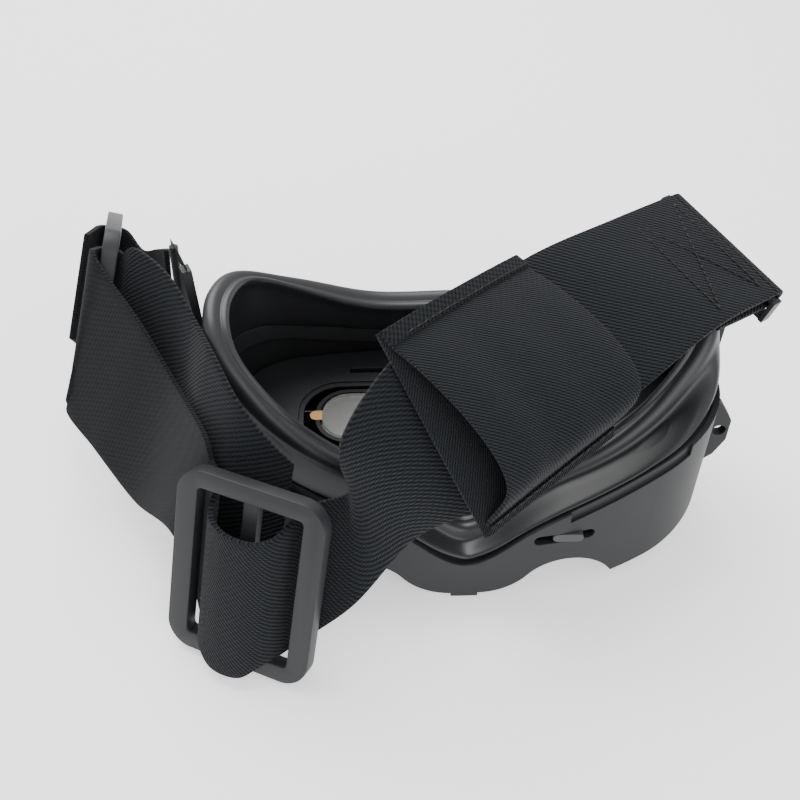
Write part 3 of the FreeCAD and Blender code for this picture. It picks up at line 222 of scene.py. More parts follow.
# %% Woven finishes
def twill(name, rib_mm, loop_mm, dark, light, slant=1.0, depth_mm=0.32):
    """Ribbed elastic webbing: slanted ribs broken into loops, painted shade in the grooves, painted light on
    the rib tops, stray pale fibres.
    """
    finish, tree, principled = new_finish(name, IOR=1.46, Roughness=0.86)
    principled.inputs["Sheen Weight"].default_value = 0.06
    principled.inputs["Sheen Roughness"].default_value = 0.5
    principled.inputs["Specular IOR Level"].default_value = 0.12
    flat = add_node(tree, "ShaderNodeUVMap", {"uv_map": "cloth"}).outputs["UV"]
    split = add_node(tree, "ShaderNodeSeparateXYZ", None, Vector=flat)
    along, across = split.outputs["X"], split.outputs["Y"]
    leaning = add_node(tree, "ShaderNodeMath", {"operation": "MULTIPLY_ADD"}, i0=across, i1=slant, i2=along)
    wobble = add_node(tree, "ShaderNodeTexNoise", {"Scale": 260.0, "Detail": 2.0}, Vector=flat)
    sway = add_node(tree, "ShaderNodeMath", {"operation": "MULTIPLY_ADD"}, i0=wobble.outputs["Fac"],
                    i1=0.5 * MM, i2=leaning.outputs["Value"])
    rib_turn = 2 * math.pi / (rib_mm * MM)
    rib_phase = add_node(tree, "ShaderNodeMath", {"operation": "MULTIPLY"}, i0=sway.outputs["Value"],
                         i1=rib_turn)
    rib = add_node(tree, "ShaderNodeMath", {"operation": "SINE"}, i0=rib_phase.outputs["Value"])
    loop_turn = 2 * math.pi / (loop_mm * MM)
    loop_phase = add_node(tree, "ShaderNodeMath", {"operation": "MULTIPLY"}, i0=across, i1=loop_turn)
    half_turns = add_node(tree, "ShaderNodeMath", {"operation": "MULTIPLY_ADD"},
                          i0=rib_phase.outputs["Value"], i1=0.5, i2=loop_phase.outputs["Value"])
    loop = add_node(tree, "ShaderNodeMath", {"operation": "SINE"}, i0=half_turns.outputs["Value"])
    loop_part = add_node(tree, "ShaderNodeMath", {"operation": "MULTIPLY_ADD"}, i0=loop.outputs["Value"],
                         i1=0.45, i2=rib.outputs["Value"])
    height = add_node(tree, "ShaderNodeMapRange", {"From Min": -1.3, "From Max": 1.3},
                      Value=loop_part.outputs["Value"])
    # The rib height also sets the colour: painted shade down in the grooves, painted light on the rib tops.
    tone = mix_colours(tree, height.outputs["Result"], dark, light)
    fibre = add_node(tree, "ShaderNodeTexNoise", {"Scale": 2600.0, "Detail": 2.0}, Vector=flat)
    speck = add_node(tree, "ShaderNodeMapRange", {"From Min": 0.58, "From Max": 0.78, "To Max": 0.3},
                     Value=fibre.outputs["Fac"])
    flecked = add_node(tree, "ShaderNodeMix", {"data_type": "RGBA"}, i0=speck.outputs["Result"], i6=tone,
                       i7=colour("#54575c"))
    tree.links.new(flecked.outputs[2], principled.inputs["Base Color"])
    bump = add_node(tree, "ShaderNodeBump", {"Strength": 1.0, "Distance": depth_mm * MM},
                    Height=height.outputs["Result"])
    tree.links.new(bump.outputs["Normal"], principled.inputs["Normal"])
    return finish


# Each twill's first colour is the painted shade in its grooves, the second the painted light on its rib
# tops.
strap_twill = twill("elastic_polyester_twill", 1.7, 1.5, "#040405", "#24272b")
sleeve_twill = twill("fine_polyester_twill", 1.35, 1.2, "#050506", "#282b2f")
band_twill = twill("brushed_polyester_twill", 1.1, 1.0, "#0b0c0d", "#212326", depth_mm=0.18)
hem_twill = twill("turned_polyester_twill", 1.7, 1.5, "#060607", "#1f2225", slant=-1.0)


def plain_thread(name, tone, roughness):
    """Spun sewing thread: matt, with a twist too fine to see but for a slight change of tone."""
    finish, tree, principled = new_finish(name, IOR=1.46, Roughness=roughness)
    place = add_node(tree, "ShaderNodeTexCoord").outputs["Object"]
    twist = add_node(tree, "ShaderNodeTexNoise", {"Scale": 1 / (0.4 * MM)}, Vector=place)
    tree.links.new(shade_between(tree, twist.outputs["Fac"], tone, 0.6), principled.inputs["Base Color"])
    return finish


black_thread = plain_thread("black_polyester_thread", "#0b0b0c", 0.6)
pale_thread = plain_thread("pale_elastic_thread", "#9a9c9e", 0.7)

# %% [markdown]
# Small metal and glass things need a few finishes more: ground steel for the rods and pins, gilt brass for
# the antenna sockets, a green board, and glass with a grey coat for the lenses. The pull tab of the film is
# an amber paper, so the film's finish changes where the tab begins.

# %% Metal, glass and film
def metal(name, tone, roughness):
    """Bare metal with fine grinding marks along X."""
    finish, tree, principled = new_finish(name, Metallic=1.0, Roughness=roughness)
    place = add_node(tree, "ShaderNodeTexCoord").outputs["Object"]
    drawn = add_node(tree, "ShaderNodeMapping", {"Scale": (1.0, 30.0, 30.0)}, Vector=place)
    marks = add_node(tree, "ShaderNodeTexNoise", {"Scale": 180.0}, Vector=drawn.outputs["Vector"])
    tree.links.new(shade_between(tree, marks.outputs["Fac"], tone, 0.75), principled.inputs["Base Color"])
    return finish


def grained(name, dark, light, **shader):
    """A non-metal whose tone wanders a little."""
    finish, tree, principled = new_finish(name, **shader)
    place = add_node(tree, "ShaderNodeTexCoord").outputs["Object"]
    cloud = add_node(tree, "ShaderNodeTexNoise", {"Scale": 220.0, "Detail": 3.0}, Vector=place)
    tree.links.new(mix_colours(tree, cloud.outputs["Fac"], dark, light), principled.inputs["Base Color"])
    return finish


steel = metal("ground_steel", "#b9babc", 0.28)
black_steel = metal("blackened_steel", "#2c2d2f", 0.45)
gilt_brass = metal("gilt_brass", "#d8b062", 0.3)
board_green = grained("glass_epoxy_board", "#0d3a22", "#14492c", Roughness=0.35, IOR=1.55)
display_black = grained("black_display_glass", "#101215", "#181b20", Roughness=0.12, IOR=1.52)
lens_clear = grained("coated_lens_glass", "#8f9390", "#a2a6a2", Roughness=0.12, IOR=1.5)
lens_clear.node_tree.nodes["Principled BSDF"].inputs["Alpha"].default_value = 0.62


def film_finish(tab_edge):
    """Hazy film with a paper pull tab beyond an X position."""
    finish, tree, principled = new_finish("hazy_film_with_amber_tab", Roughness=0.42, IOR=1.5)
    place = add_node(tree, "ShaderNodeTexCoord").outputs["Object"]
    split = add_node(tree, "ShaderNodeSeparateXYZ", None, Vector=place)
    is_film = add_node(tree, "ShaderNodeMath", {"operation": "GREATER_THAN"}, i0=split.outputs["X"],
                       i1=tab_edge)
    haze = add_node(tree, "ShaderNodeTexNoise", {"Scale": 420.0, "Detail": 4.0}, Vector=place)
    paper = mix_colours(tree, haze.outputs["Fac"], "#b98a45", "#c99b55")
    clear = mix_colours(tree, haze.outputs["Fac"], "#6b6d6a", "#8b8c88")
    both = add_node(tree, "ShaderNodeMix", {"data_type": "RGBA"}, i0=is_film.outputs["Value"], i6=paper,
                    i7=clear)
    tree.links.new(both.outputs[2], principled.inputs["Base Color"])
    cover = add_node(tree, "ShaderNodeMapRange", {"To Min": 1.0, "To Max": 0.45},
                     Value=is_film.outputs["Value"])
    tree.links.new(cover.outputs["Result"], principled.inputs["Alpha"])
    return finish


lens_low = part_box("left_lens")[0]
film = film_finish(float(lens_low[0]) + 0.5 * MM)

FINISHES = {
    "rear_shell": housing_abs, "front_cover": visor_abs, "face_plate": inner_abs, "seal_frame": inner_abs,
    "left_barrel": barrel_abs, "right_barrel": barrel_abs, "left_lens": lens_clear, "right_lens": lens_clear,
    "left_display": display_black, "right_display": display_black, "lens_film": film,
    "left_ipd_knob": button_abs, "right_ipd_knob": button_abs, "power_button": button_abs,
    "record_button": button_abs, "channel_rocker": button_abs, "rocker_bracket": inner_abs,
    "rod_carrier": inner_abs, "fan_frame": inner_abs, "fan_rotor": barrel_abs, "main_board": board_green,
    "guide_rods": steel, "clip_pins": steel, "housing_screws": black_steel, "antenna_sockets": gilt_brass,
    "power_jack": jack_abs, "left_clip": clip_nylon, "right_clip": clip_nylon,
    "adjuster_buckle": buckle_nylon, "rear_buckle": buckle_nylon,
}


def dress(obj, finish):
    """Gives every slot of an object one finish."""
    if not obj.material_slots:
        obj.data.materials.append(finish)
    for place in obj.material_slots:
        place.material = finish


for node, finish in FINISHES.items():
    dress(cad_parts[node], finish)
print("dressed frame pieces:", len(FINISHES))

# %% [markdown]
# Webbing is a band, so it is modelled as a flat grid whose two long edges follow two smooth curves in space.
# The grid starts as a primitive; each row of its points is then placed between the two edges, the map gets
# real lengths, and modifiers give the band its thickness and its rounded woven edges.

# %% Tools for bands
def clear_selection():
    """Deselects everything."""
    bpy.ops.object.select_all(action="DESELECT")


def make_active(obj):
    """Selects one object alone and makes it the active one."""
    clear_selection()
    obj.select_set(True)
    bpy.context.view_layer.objects.active = obj


def apply_modifiers(obj):
    """Applies an object's modifiers in their order."""
    make_active(obj)
    for modifier in list(obj.modifiers):
        bpy.ops.object.modifier_apply(modifier=modifier.name)


SPAN_STEPS = 24        # samples from one given point of a curve to the next


def run_along(line):
    """The distance from the start of a line to each of its points."""
    return np.concatenate([[0], np.cumsum(np.linalg.norm(np.diff(line, axis=0), axis=1))])


def smooth_line(points):
    """A curve through points: a centripetal Catmull-Rom spline."""
    raw = np.array(points, float)
    ends = [2 * raw[0] - raw[1], *raw, 2 * raw[-1] - raw[-2]]
    knots = [0.0]
    for a, b in zip(ends, ends[1:]):
        knots.append(knots[-1] + max(1e-6, np.linalg.norm(b - a)) ** 0.5)
    found = []
    for i in range(1, len(ends) - 2):
        p, k = ends[i - 1:i + 3], knots[i - 1:i + 3]
        for t in np.linspace(k[1], k[2], SPAN_STEPS, endpoint=False):
            a1 = (k[1] - t) / (k[1] - k[0]) * p[0] + (t - k[0]) / (k[1] - k[0]) * p[1]
            a2 = (k[2] - t) / (k[2] - k[1]) * p[1] + (t - k[1]) / (k[2] - k[1]) * p[2]
            a3 = (k[3] - t) / (k[3] - k[2]) * p[2] + (t - k[2]) / (k[3] - k[2]) * p[3]
            b1 = (k[2] - t) / (k[2] - k[0]) * a1 + (t - k[0]) / (k[2] - k[0]) * a2
            b2 = (k[3] - t) / (k[3] - k[1]) * a2 + (t - k[1]) / (k[3] - k[1]) * a3
            found.append((k[2] - t) / (k[2] - k[1]) * b1 + (t - k[1]) / (k[2] - k[1]) * b2)
    found.append(raw[-1])
    return np.array(found)


def edge_lines(pairs, steps):
    """The two edges of a band, sampled at the same even steps of its middle line, in metres."""
    upper = smooth_line([p[0] for p in pairs])
    lower = smooth_line([p[1] for p in pairs])
    run = run_along((upper + lower) / 2)
    want = np.linspace(0, run[-1], steps + 1)
    place = [np.stack([np.interp(want, run, line[:, i]) for i in range(3)], 1) for line in (upper, lower)]
    return place[0] * MM, place[1] * MM, want * MM


def cloth_grid(name, rows, lengths, widths):
    """A grid object whose rows of points are given, with a map in metres."""
    count, across = len(rows), len(rows[0])
    bpy.ops.mesh.primitive_grid_add(x_subdivisions=across - 1, y_subdivisions=count - 1, size=1.0)
    obj = bpy.context.object
    obj.name = name
    mesh = obj.data
    flat = np.array(rows, float).reshape(-1, 3)
    mesh.vertices.foreach_set("co", flat.ravel())
    layer = mesh.uv_layers.active or mesh.uv_layers.new()
    layer.name = "cloth"
    spots = [(float(u), float(v)) for u, row in zip(lengths, widths) for v in row]
    for loop in mesh.loops:
        layer.data[loop.index].uv = spots[loop.vertex_index]
    mesh.update()
    return obj


BAND_THICK = 1.8 * MM
WOVEN_EDGE = 0.4 * MM  # rounding of a woven edge


def thicken(obj, thickness, offset=0.0):
    """Gives a cloth grid its thickness and rounded edges."""
    wall = obj.modifiers.new("wall", "SOLIDIFY")
    wall.thickness = thickness
    wall.offset = offset
    rounding = obj.modifiers.new("rounding", "BEVEL")
    rounding.width = WOVEN_EDGE
    rounding.segments = 2
    rounding.limit_method = "ANGLE"
    rounding.angle_limit = math.radians(60)
    apply_modifiers(obj)
    bpy.ops.object.shade_smooth()


def band(name, pairs, finish, replaced, steps=90, across=16, wave=0.0):
    """A strip of webbing through pairs of edge points, in millimetres, in place of a frame piece."""
    upper, lower, lengths = edge_lines(pairs, steps)
    rows, widths = [], []
    for i, (a, b) in enumerate(zip(upper, lower)):
        ahead = (upper[min(i + 1, steps)] + lower[min(i + 1, steps)]) / 2
        behind = (upper[max(i - 1, 0)] + lower[max(i - 1, 0)]) / 2
        normal = np.cross(ahead - behind, b - a)
        normal /= max(1e-9, np.linalg.norm(normal))
        row, width = [], []
        for j in range(across + 1):
            k = j / across
            ripple = wave * MM * math.sin(3.1 * lengths[i] / 0.02 + 4 * k) * math.sin(math.pi * k)
            row.append(a + (b - a) * k + normal * ripple)
            width.append(k * np.linalg.norm(b - a))
        rows.append(row)
        widths.append(width)
    obj = cloth_grid(name, rows, lengths, widths)
    thicken(obj, BAND_THICK)
    dress(obj, finish)
    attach(obj, "headset")
    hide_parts(replaced)
    print("%s: %.0f mm of webbing" % (name, lengths[-1] / MM))


# %% [markdown]
# The adjuster buckle stands askew on its lower rail. Points of the webbing near it are easier to give in the
# buckle's own directions: across it, out of its back and up it. The second buckle has directions too.

# %% Directions of the two buckles
def turned(centre, rotation):
    """A function from a buckle's own directions to places in millimetres."""
    matrix = np.array(rotation)
    origin = np.array(centre)

    def place(x, y, z):
        return tuple(origin + matrix @ np.array((x, y, z), float))
    return place


ADJUSTER_CENTRE = (-69.5, -57.5, 30.5)
ADJUSTER_TURN = Matrix.Rotation(math.radians(-24.8), 3, "Z") @ Matrix.Rotation(math.radians(-21.7), 3, "X")
on_buckle = turned(ADJUSTER_CENTRE, ADJUSTER_TURN)


def unit(v):
    """A direction of length one."""
    return np.array(v, float) / np.linalg.norm(v)


ring_up = unit((0.245, 0.42, 0.874))
ring_along = unit((-0.207, 0.903, -0.376))
ring_out = unit(np.cross(ring_up, ring_along))
ring_high = np.cross(ring_along, ring_out)
NEAR_BAR = np.array((-123.6, 26.4, 64.6))
BAR_REACH = 21.5       # from the middle of a buckle to the middle of its side bars
HALF_WEBBING = 25
RING_CENTRE = NEAR_BAR + ring_along * BAR_REACH
on_ring = turned(RING_CENTRE, np.stack([ring_along, ring_out, ring_high], 1))


def ring_pair(x, y):
    """Edge points of webbing that lies square in the second buckle."""
    return (on_ring(x, y, HALF_WEBBING), on_ring(x, y, -HALF_WEBBING))


# %% [markdown]
# The strap is one long elastic band. From its sewn end by the right temple it crosses the face opening, dips
# to the adjuster, passes over the middle bar with its lower edge sagging in front of the rail, and runs on
# to the second buckle, round it and back.

# %% The long strap
ENTRY = (on_buckle(17.0, 6.6, 28.5), on_buckle(21.0, 6.6, -18))
EXIT = (on_buckle(-19.6, 7.4, 31.0), on_buckle(-23.6, 7.8, -11.5))
LONG_STRAP = [
    ((74, 47, 98.5), (102, 9, 84.5)),
    ((50.5, 30.5, 100), (78.5, -7, 84.5)),
    ((20, 9, 101), (51, -27.5, 76.5)),
    ((-3, -13, 100), (26, -42, 66)),
    ((-26, -37, 96), (2, -54.5, 57)),
    ((-38.5, -54.5, 84), (-17.5, -54.5, 43.5)),
    (on_buckle(26.0, 9.5, 34), on_buckle(33.0, 8.5, -3)),
    ENTRY,
]
CROSSING = [
    ENTRY,
    (on_buckle(13.6, 3.6, 25.0), on_buckle(13.8, 3.6, -25.2)),
    (on_buckle(12.0, -0.6, 22.0), on_buckle(12.2, -0.6, -25.6)),
    (on_buckle(9.8, -4.8, 19.0), on_buckle(9.8, -5.0, -27.0)),
    (on_buckle(5.2, -7.0, 17.0), on_buckle(5.2, -7.2, -31.5)),
    (on_buckle(-0.5, -7.6, 16.5), on_buckle(-0.5, -7.8, -32.5)),
    (on_buckle(-6.2, -7.0, 17.0), on_buckle(-6.2, -7.2, -31.5)),
    (on_buckle(-11.2, -4.8, 19.0), on_buckle(-11.2, -5.0, -27.0)),
    (on_buckle(-13.6, -0.6, 22.0), on_buckle(-13.8, -0.6, -25.4)),
    (on_buckle(-14.6, 3.6, 25.0), on_buckle(-15.0, 3.6, -25.2)),
    (on_buckle(-17.2, 6.2, 29.0), on_buckle(-18.0, 6.4, -24.0)),
    EXIT,
]
band("strap_over_face", LONG_STRAP, strap_twill, "long_strap", steps=120, wave=0.25)
band("strap_through_buckle", CROSSING, sleeve_twill, "strap_crossing")

# %% [markdown]
# Left of the buckle the band's smooth side faces out. It goes round the near bar of the second buckle and
# comes back inside, and its ribs show again there.

# %% The left loop
TURN = ring_pair(-14.0, 0.0)
FRONT_BAND = [
    EXIT,
    (on_buckle(-23.0, 9.5, 36), on_buckle(-33.0, 10.0, -1.0)),
    ((-94.5, -2.0, 62.5), (-112.0, -16, 19.5)),
    ((-106, 13.5, 74.5), (-127, -0.5, 31)),
    ((-117.5, 27, 84), (-136.5, 9.5, 39.5)),
    ring_pair(-25.5, 5.6), ring_pair(-20.0, 4.7), ring_pair(-15.7, 2.9), ring_pair(-14.0, 0.9), TURN,
]
BACK_BAND = [
    TURN, ring_pair(-14.0, -0.9), ring_pair(-15.7, -2.9), ring_pair(-20.5, -4.7),
    ((-109, 35.5, 89.0), (-121.5, 14.5, 44.0)),
    ((-97.0, 24.5, 86.5), (-109.5, 6.5, 41)),
    ((-86.8, 8.6, 79.5), (-99.3, -6.2, 33.5)),
    ((-79.0, -8.5, 79), (-91.5, -26, 33)),
    ((-70, -25, 73), (-81.5, -41.5, 27)),
    ((-61, -32.5, 64), (-71, -47, 18)),
    ((-54, -35, 56), (-63.5, -47.5, 10)),
]
band("strap_left_outside", FRONT_BAND, band_twill, "strap_front_band", steps=110)
band("strap_left_inside", BACK_BAND, strap_twill, "strap_back_band", steps=110, wave=0.3)

SHORT_STRAP = [
    (on_ring(BAR_REACH - 15.0, 9.0, 24), on_ring(BAR_REACH - 15.0, 9.0, -16)),
    (on_ring(BAR_REACH - 6.0, 7.0, 24.5), on_ring(BAR_REACH - 6.0, 7.0, -20)),
    (on_ring(BAR_REACH + 2.5, 4.8, 25), on_ring(BAR_REACH + 2.5, 4.8, -24)),
    ring_pair(BAR_REACH + 6.0, 0.8),
    ring_pair(BAR_REACH + 3.0, -4.8),
    ((-116.5, 72.5, 63.0), (-124.5, 57.5, 17.0)),
    ((-109.0, 66.0, 67.5), (-115.5, 54.5, 19.5)),
    ((-103.0, 56.0, 74.5), (-107.0, 48.0, 26.0)),
    ((-101.2, 47.5, 79.5), (-103.6, 42.0, 30.5)),
]
band("short_strap_piece", SHORT_STRAP, band_twill, "short_strap")

# %% [markdown]
# The strap's end is folded under and sewn down: the fold goes round the bar of the right clip. One row of
# stitches near the fold, one further in and two slanting ones between them hold the two layers.

# %% The folded end
end_upper, end_lower = np.array(LONG_STRAP[0][0], float), np.array(LONG_STRAP[0][1], float)
end_across = unit(end_lower - end_upper)
end_along = unit(end_upper + end_lower - np.array(LONG_STRAP[1][0]) - np.array(LONG_STRAP[1][1]))
end_under = unit(np.cross(end_along, end_across))


def end_pair(along, under):
    """Edge points of the folded end, beyond the strap and under it."""
    move = end_along * along + end_under * under
    return (tuple(end_upper + move), tuple(end_lower + move))


FOLD = [(0, 0), (3.0, 0.8), (4.4, 3.0), (3.0, 5.2), (0, 6.0), (-12, 5.2), (-26, 3.6)]
band("strap_folded_end", [end_pair(a, u) for a, u in FOLD], hem_twill, "strap_sewn_end", steps=60)

# %% [markdown]
# The battery lies in a sleeve sewn to the strap: an open tube of the finer webbing, flat against the strap,
# whose outer side has slack and leans over to the right. Its two open ends show the dark inside. It is
# lofted from three slanting outlines, with more of them worked out between.

# %% The battery sleeve
sleeve_out = unit((0.717, -0.15, 0.68))      # the way the slack of the sleeve leans off the strap
SLEEVE_ENDS = [
    (((12.8, 5.6, 102.1), (38.7, -41.4, 70.0)), 17.0),
    (((-8.2, -13.0, 103.4), (19.8, -54.0, 63.4)), 16.0),
    (((-29.3, -31.5, 103.1), (0.8, -66.6, 56.2)), 15.0),
]
SLEEVE_LIFT = 1.8
SLEEVE_LENGTH = 66.0   # along the strap, for the map of the cloth
SLEEVE_ROWS = 49
FRONT_POINTS = 46      # of an outline, over the slack outside
SLEEVE_PROFILE = [(0, 0), (0.08, 0.14), (0.22, 0.43), (0.46, 0.80), (0.64, 0.97), (0.76, 1.0), (0.84, 0.93),
                  (0.89, 0.77), (0.93, 0.42), (0.955, 0.12), (1.0, 0.0)]


def sleeve_outline(upper, lower, belly):
    """Points round the sleeve: over the slack outside and back along the strap."""
    upper, lower = np.array(upper, float), np.array(lower, float)
    lift = sleeve_out * SLEEVE_LIFT
    front = [upper + (lower - upper) * a + lift + sleeve_out * (belly * b + 0.9) for a, b in SLEEVE_PROFILE]
    curve = smooth_line(front)
    run = run_along(curve)
    want = np.linspace(0, run[-1], FRONT_POINTS)
    front = np.stack([np.interp(want, run, curve[:, i]) for i in range(3)], 1)
    back = [lower + lift - sleeve_out * 0.4 + (upper - lower) * k for k in np.linspace(0, 1, 14)]
    return [*front, *back]


def between(stations, k):
    """An outline's numbers at a share of the way along, on a smooth curve through three stations."""
    rows = np.array([[*a[0], *a[1], b] for a, b in stations], float)
    a = 2 * rows[0] - 4 * rows[1] + 2 * rows[2]
    b = -3 * rows[0] + 4 * rows[1] - rows[2]
    return a * k * k + b * k + rows[0]


def sleeve_section(k):
    """The outline at a share of the sleeve's length, with a little uneven slack."""
    spot = between(SLEEVE_ENDS, k)
    slack = 0.6 * math.sin(7.5 * k + 0.4) * math.sin(math.pi * k) + 0.35 * math.sin(17 * k)
    return sleeve_outline(spot[0:3], spot[3:6], spot[6] + slack)


def sleeve():
    """The open tube of the sleeve, closed round its girth."""
    rows, lengths, widths = [], [], []
    for k in np.linspace(0, 1, SLEEVE_ROWS):
        row = [p * MM for p in sleeve_section(k)]
        row.append(row[0])
        rows.append(row)
        widths.append(run_along(row))
        lengths.append(k * SLEEVE_LENGTH * MM)
    obj = cloth_grid("battery_sleeve", rows, lengths, widths)
    make_active(obj)
    bpy.ops.object.mode_set(mode="EDIT")
    bpy.ops.mesh.select_all(action="SELECT")
    bpy.ops.mesh.remove_doubles(threshold=0.00001)
    bpy.ops.mesh.normals_make_consistent(inside=False)
    bpy.ops.object.mode_set(mode="OBJECT")
    thicken(obj, 1.3 * MM, offset=-1.0)
    dress(obj, sleeve_twill)
    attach(obj, "headset")
    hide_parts("battery_pocket")
    return obj


sleeve_piece = sleeve()
print("sleeve vertices:", len(sleeve_piece.data.vertices))


def sleeve_place(k, share, lift=0.0):
    """A place on the sleeve's outside, at a share of its length and of its front, in metres."""
    front = sleeve_section(k)[:FRONT_POINTS]
    position = share * (FRONT_POINTS - 1)
    low = min(FRONT_POINTS - 2, int(position))
    here = front[low] + (front[low + 1] - front[low]) * (position - low)
    return (here + sleeve_out * lift) * MM


# %% [markdown]
# Each long edge of the sleeve is a hem: a second layer of webbing, turned over and sewn. It lies on the
# outside of the sleeve as a narrow band, so it is a grid of its own, a little proud of the sleeve.

# %% Hems of the sleeve
def hem(name, first, last):
    """A second layer on the sleeve, between two shares of its front, a touch longer than the sleeve."""
    rows, lengths, widths = [], [], []
    for k in np.linspace(-0.004, 1.004, SLEEVE_ROWS):
        row = [sleeve_place(k, s, 0.55) for s in np.linspace(first, last, 8)]
        rows.append(row)
        lengths.append(k * SLEEVE_LENGTH * MM)
        widths.append(run_along(row))
    obj = cloth_grid(name, rows, lengths, widths)
    thicken(obj, 1.1 * MM)
    dress(obj, hem_twill)
    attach(obj, "headset")


hem("sleeve_top_hem", 0.0, 0.072)
hem("sleeve_bottom_hem", 0.958, 1.0)
print("hems: 2")

# %% [markdown]
# The face seal is a thick rubber ring. From the outside it shows a wall that leans in, a rounded outer roll,
# a fine crease, and a narrow bead round the face opening. A torus has the right faces to start from: its
# rings become the stations round the face, and its sections are placed one by one.

# %% The face seal
SEAL_STATIONS = [      # foot on the rim, top of the lip, and how far the wall bulges
    ((0, 46.6), (0, 43.0, 62.0), 0.8), ((30, 45.4), (29, 42.0, 63.0), 0.8),
    ((57, 41.5), (55, 38.5, 72.5), 1.0), ((75, 33.2), (73, 31.5, 81.5), 1.6),
    ((83, 18), (79.5, 18.0, 84.0), 2.0), ((83.6, 2), (79.5, 4.0, 81.0), 1.8),
    ((80.5, -13), (75, -5.5, 73.5), 1.4), ((70, -27), (63.5, -14.0, 61.5), 1.0),
    ((57, -33.8), (53, -19.0, 54.0), 1.0), ((43, -38), (42, -22.5, 48.0), 1.0),
    ((29, -40.8), (29, -25.0, 42.0), 1.0), ((17, -42.4), (17.5, -28.0, 34.5), 0.8),
    ((7.5, -43.2), (8, -31.0, 27.0), 0.5), ((0, -43.4), (0, -32.0, 23.0), 0.4),
]
NOSE_LINE = [(0, 16.5), (9, 20.5), (20, 30.0), (30, 36.0), (44, 42.5), (57, 48.5), (70, 54.5), (82, 58.5),
             (96, 61)]
BROW_LINE = [(0, 46.0), (30, 47.5), (57, 52.0), (76, 57.0), (82, 58.5), (96, 61)]
SPLIT_Y = -3.0         # nearer than this the rim follows the nose line
SEAL_COUNT = 120


def rim_height(x, y):
    """Height of the housing's rim under the seal."""
    line = NOSE_LINE if y < SPLIT_Y else BROW_LINE
    return float(np.interp(abs(x), [p[0] for p in line], [p[1] for p in line]))


def seal_section(foot, lip, bulge):
    """Points of one section in millimetres, from the foot outside over the lip to the foot inside."""
    turn = min(1.0, max(0.0, (abs(foot[0]) - 40) / 40))
    turn = turn * turn * (3 - 2 * turn)      # the lip faces more sideways towards the temples
    out = np.array((foot[0] * (0.35 + 0.65 * turn), foot[1] * (1.0 - 0.1 * turn), 0))
    out = out / np.linalg.norm(out)
    base, top = np.array((foot[0], foot[1], 0.0)), np.array((lip[0], lip[1], 0.0))
    rim = rim_height(foot[0], foot[1])
    low, high = rim + 0.2, lip[2]
    up = np.array((0, 0, 1.0))
    wall = base + out * bulge + up * (low + (high - low) * 0.33)
    inner_low = max(36.0, low - 4.0) if foot[1] > SPLIT_Y else low + 0.2
    return [
        base + out * 0.2 + up * low,
        wall,
        (wall + top + out * 3.8) / 2 * np.array((1, 1, 0)) + out * 0.3 + up * ((wall[2] + high - 4.4) / 2),
        top + out * 4.3 + up * (high - 4.4),
        top + out * 4.0 + up * (high - 1.7),
        top + out * 2.4 + up * (high - 0.1),
        top + out * 0.3 + up * (high - 0.1),
        top + out * -1.5 + up * (high - 1.3),
        top + out * -2.0 + up * (high - 1.75),
        top + out * -2.6 + up * (high - 1.4),
        top + out * -4.2 + up * (high - 1.5),
        top + out * -5.0 + up * (high - 2.8),
        top + out * -4.3 + up * (high - 4.6),
        top + out * -2.3 + up * (high - 7.0),
        base + out * -3.6 + up * inner_low,
    ]


def smooth_stations(count):
    """Sections evenly round the face, mirrored to the other side."""
    whole = [*SEAL_STATIONS]
    whole += [((-f[0], f[1]), (-t[0], t[1], t[2]), b) for f, t, b in SEAL_STATIONS[-2:0:-1]]
    rows = np.array([[*f, *t, b] for f, t, b in whole])
    size = len(rows)
    found = []
    for i in range(size):
        p0, p1, p2, p3 = (rows[(i + j) % size] for j in (-1, 0, 1, 2))
        for t in np.linspace(0, 1, 16, endpoint=False):
            found.append(0.5 * (2 * p1 + (p2 - p0) * t + (2 * p0 - 5 * p1 + 4 * p2 - p3) * t * t
                                + (3 * p1 - p0 - 3 * p2 + p3) * t ** 3))
    found = np.array(found + [found[0]])
    run = run_along(found[:, :2])
    want = np.linspace(0, run[-1], count, endpoint=False)
    return np.stack([np.interp(want, run, found[:, i]) for i in range(6)], 1)


def seal_piece():
    """The seal's ring of sections, smoothed."""
    stations = smooth_stations(SEAL_COUNT)
    section_points = len(seal_section(*SEAL_STATIONS[0]))
    bpy.ops.mesh.primitive_torus_add(major_segments=len(stations), minor_segments=section_points,
                                     major_radius=0.08, minor_radius=0.01)
    obj = bpy.context.object
    obj.name = "rubber_face_seal"
    places = []
    for s in stations:
        places += [p * MM for p in seal_section((s[0], s[1]), (s[2], s[3], s[4]), s[5])]
    obj.data.vertices.foreach_set("co", np.array(places).ravel())
    obj.data.update()
    make_active(obj)
    bpy.ops.object.mode_set(mode="EDIT")
    bpy.ops.mesh.select_all(action="SELECT")
    bpy.ops.mesh.normals_make_consistent(inside=False)
    bpy.ops.object.mode_set(mode="OBJECT")
    finer = obj.modifiers.new("finer", "SUBSURF")
    finer.levels = 2
    finer.render_levels = 2
    apply_modifiers(obj)
    bpy.ops.object.shade_smooth()
    dress(obj, rubber)
    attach(obj, "headset")
    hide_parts("face_seal")
    return obj


seal = seal_piece()
print("seal triangles about", 2 * len(seal.data.polygons))

# %% [markdown]
# The buckles' edges are rounded in their moulds. The frame's solids have sharp edges, so each buckle is
# copied, its loose triangles are merged back into flat faces, and a bevel rounds what is left.

# %% Rounded copies of the moulded pieces
BUCKLE_ROUND = 1.3 * MM


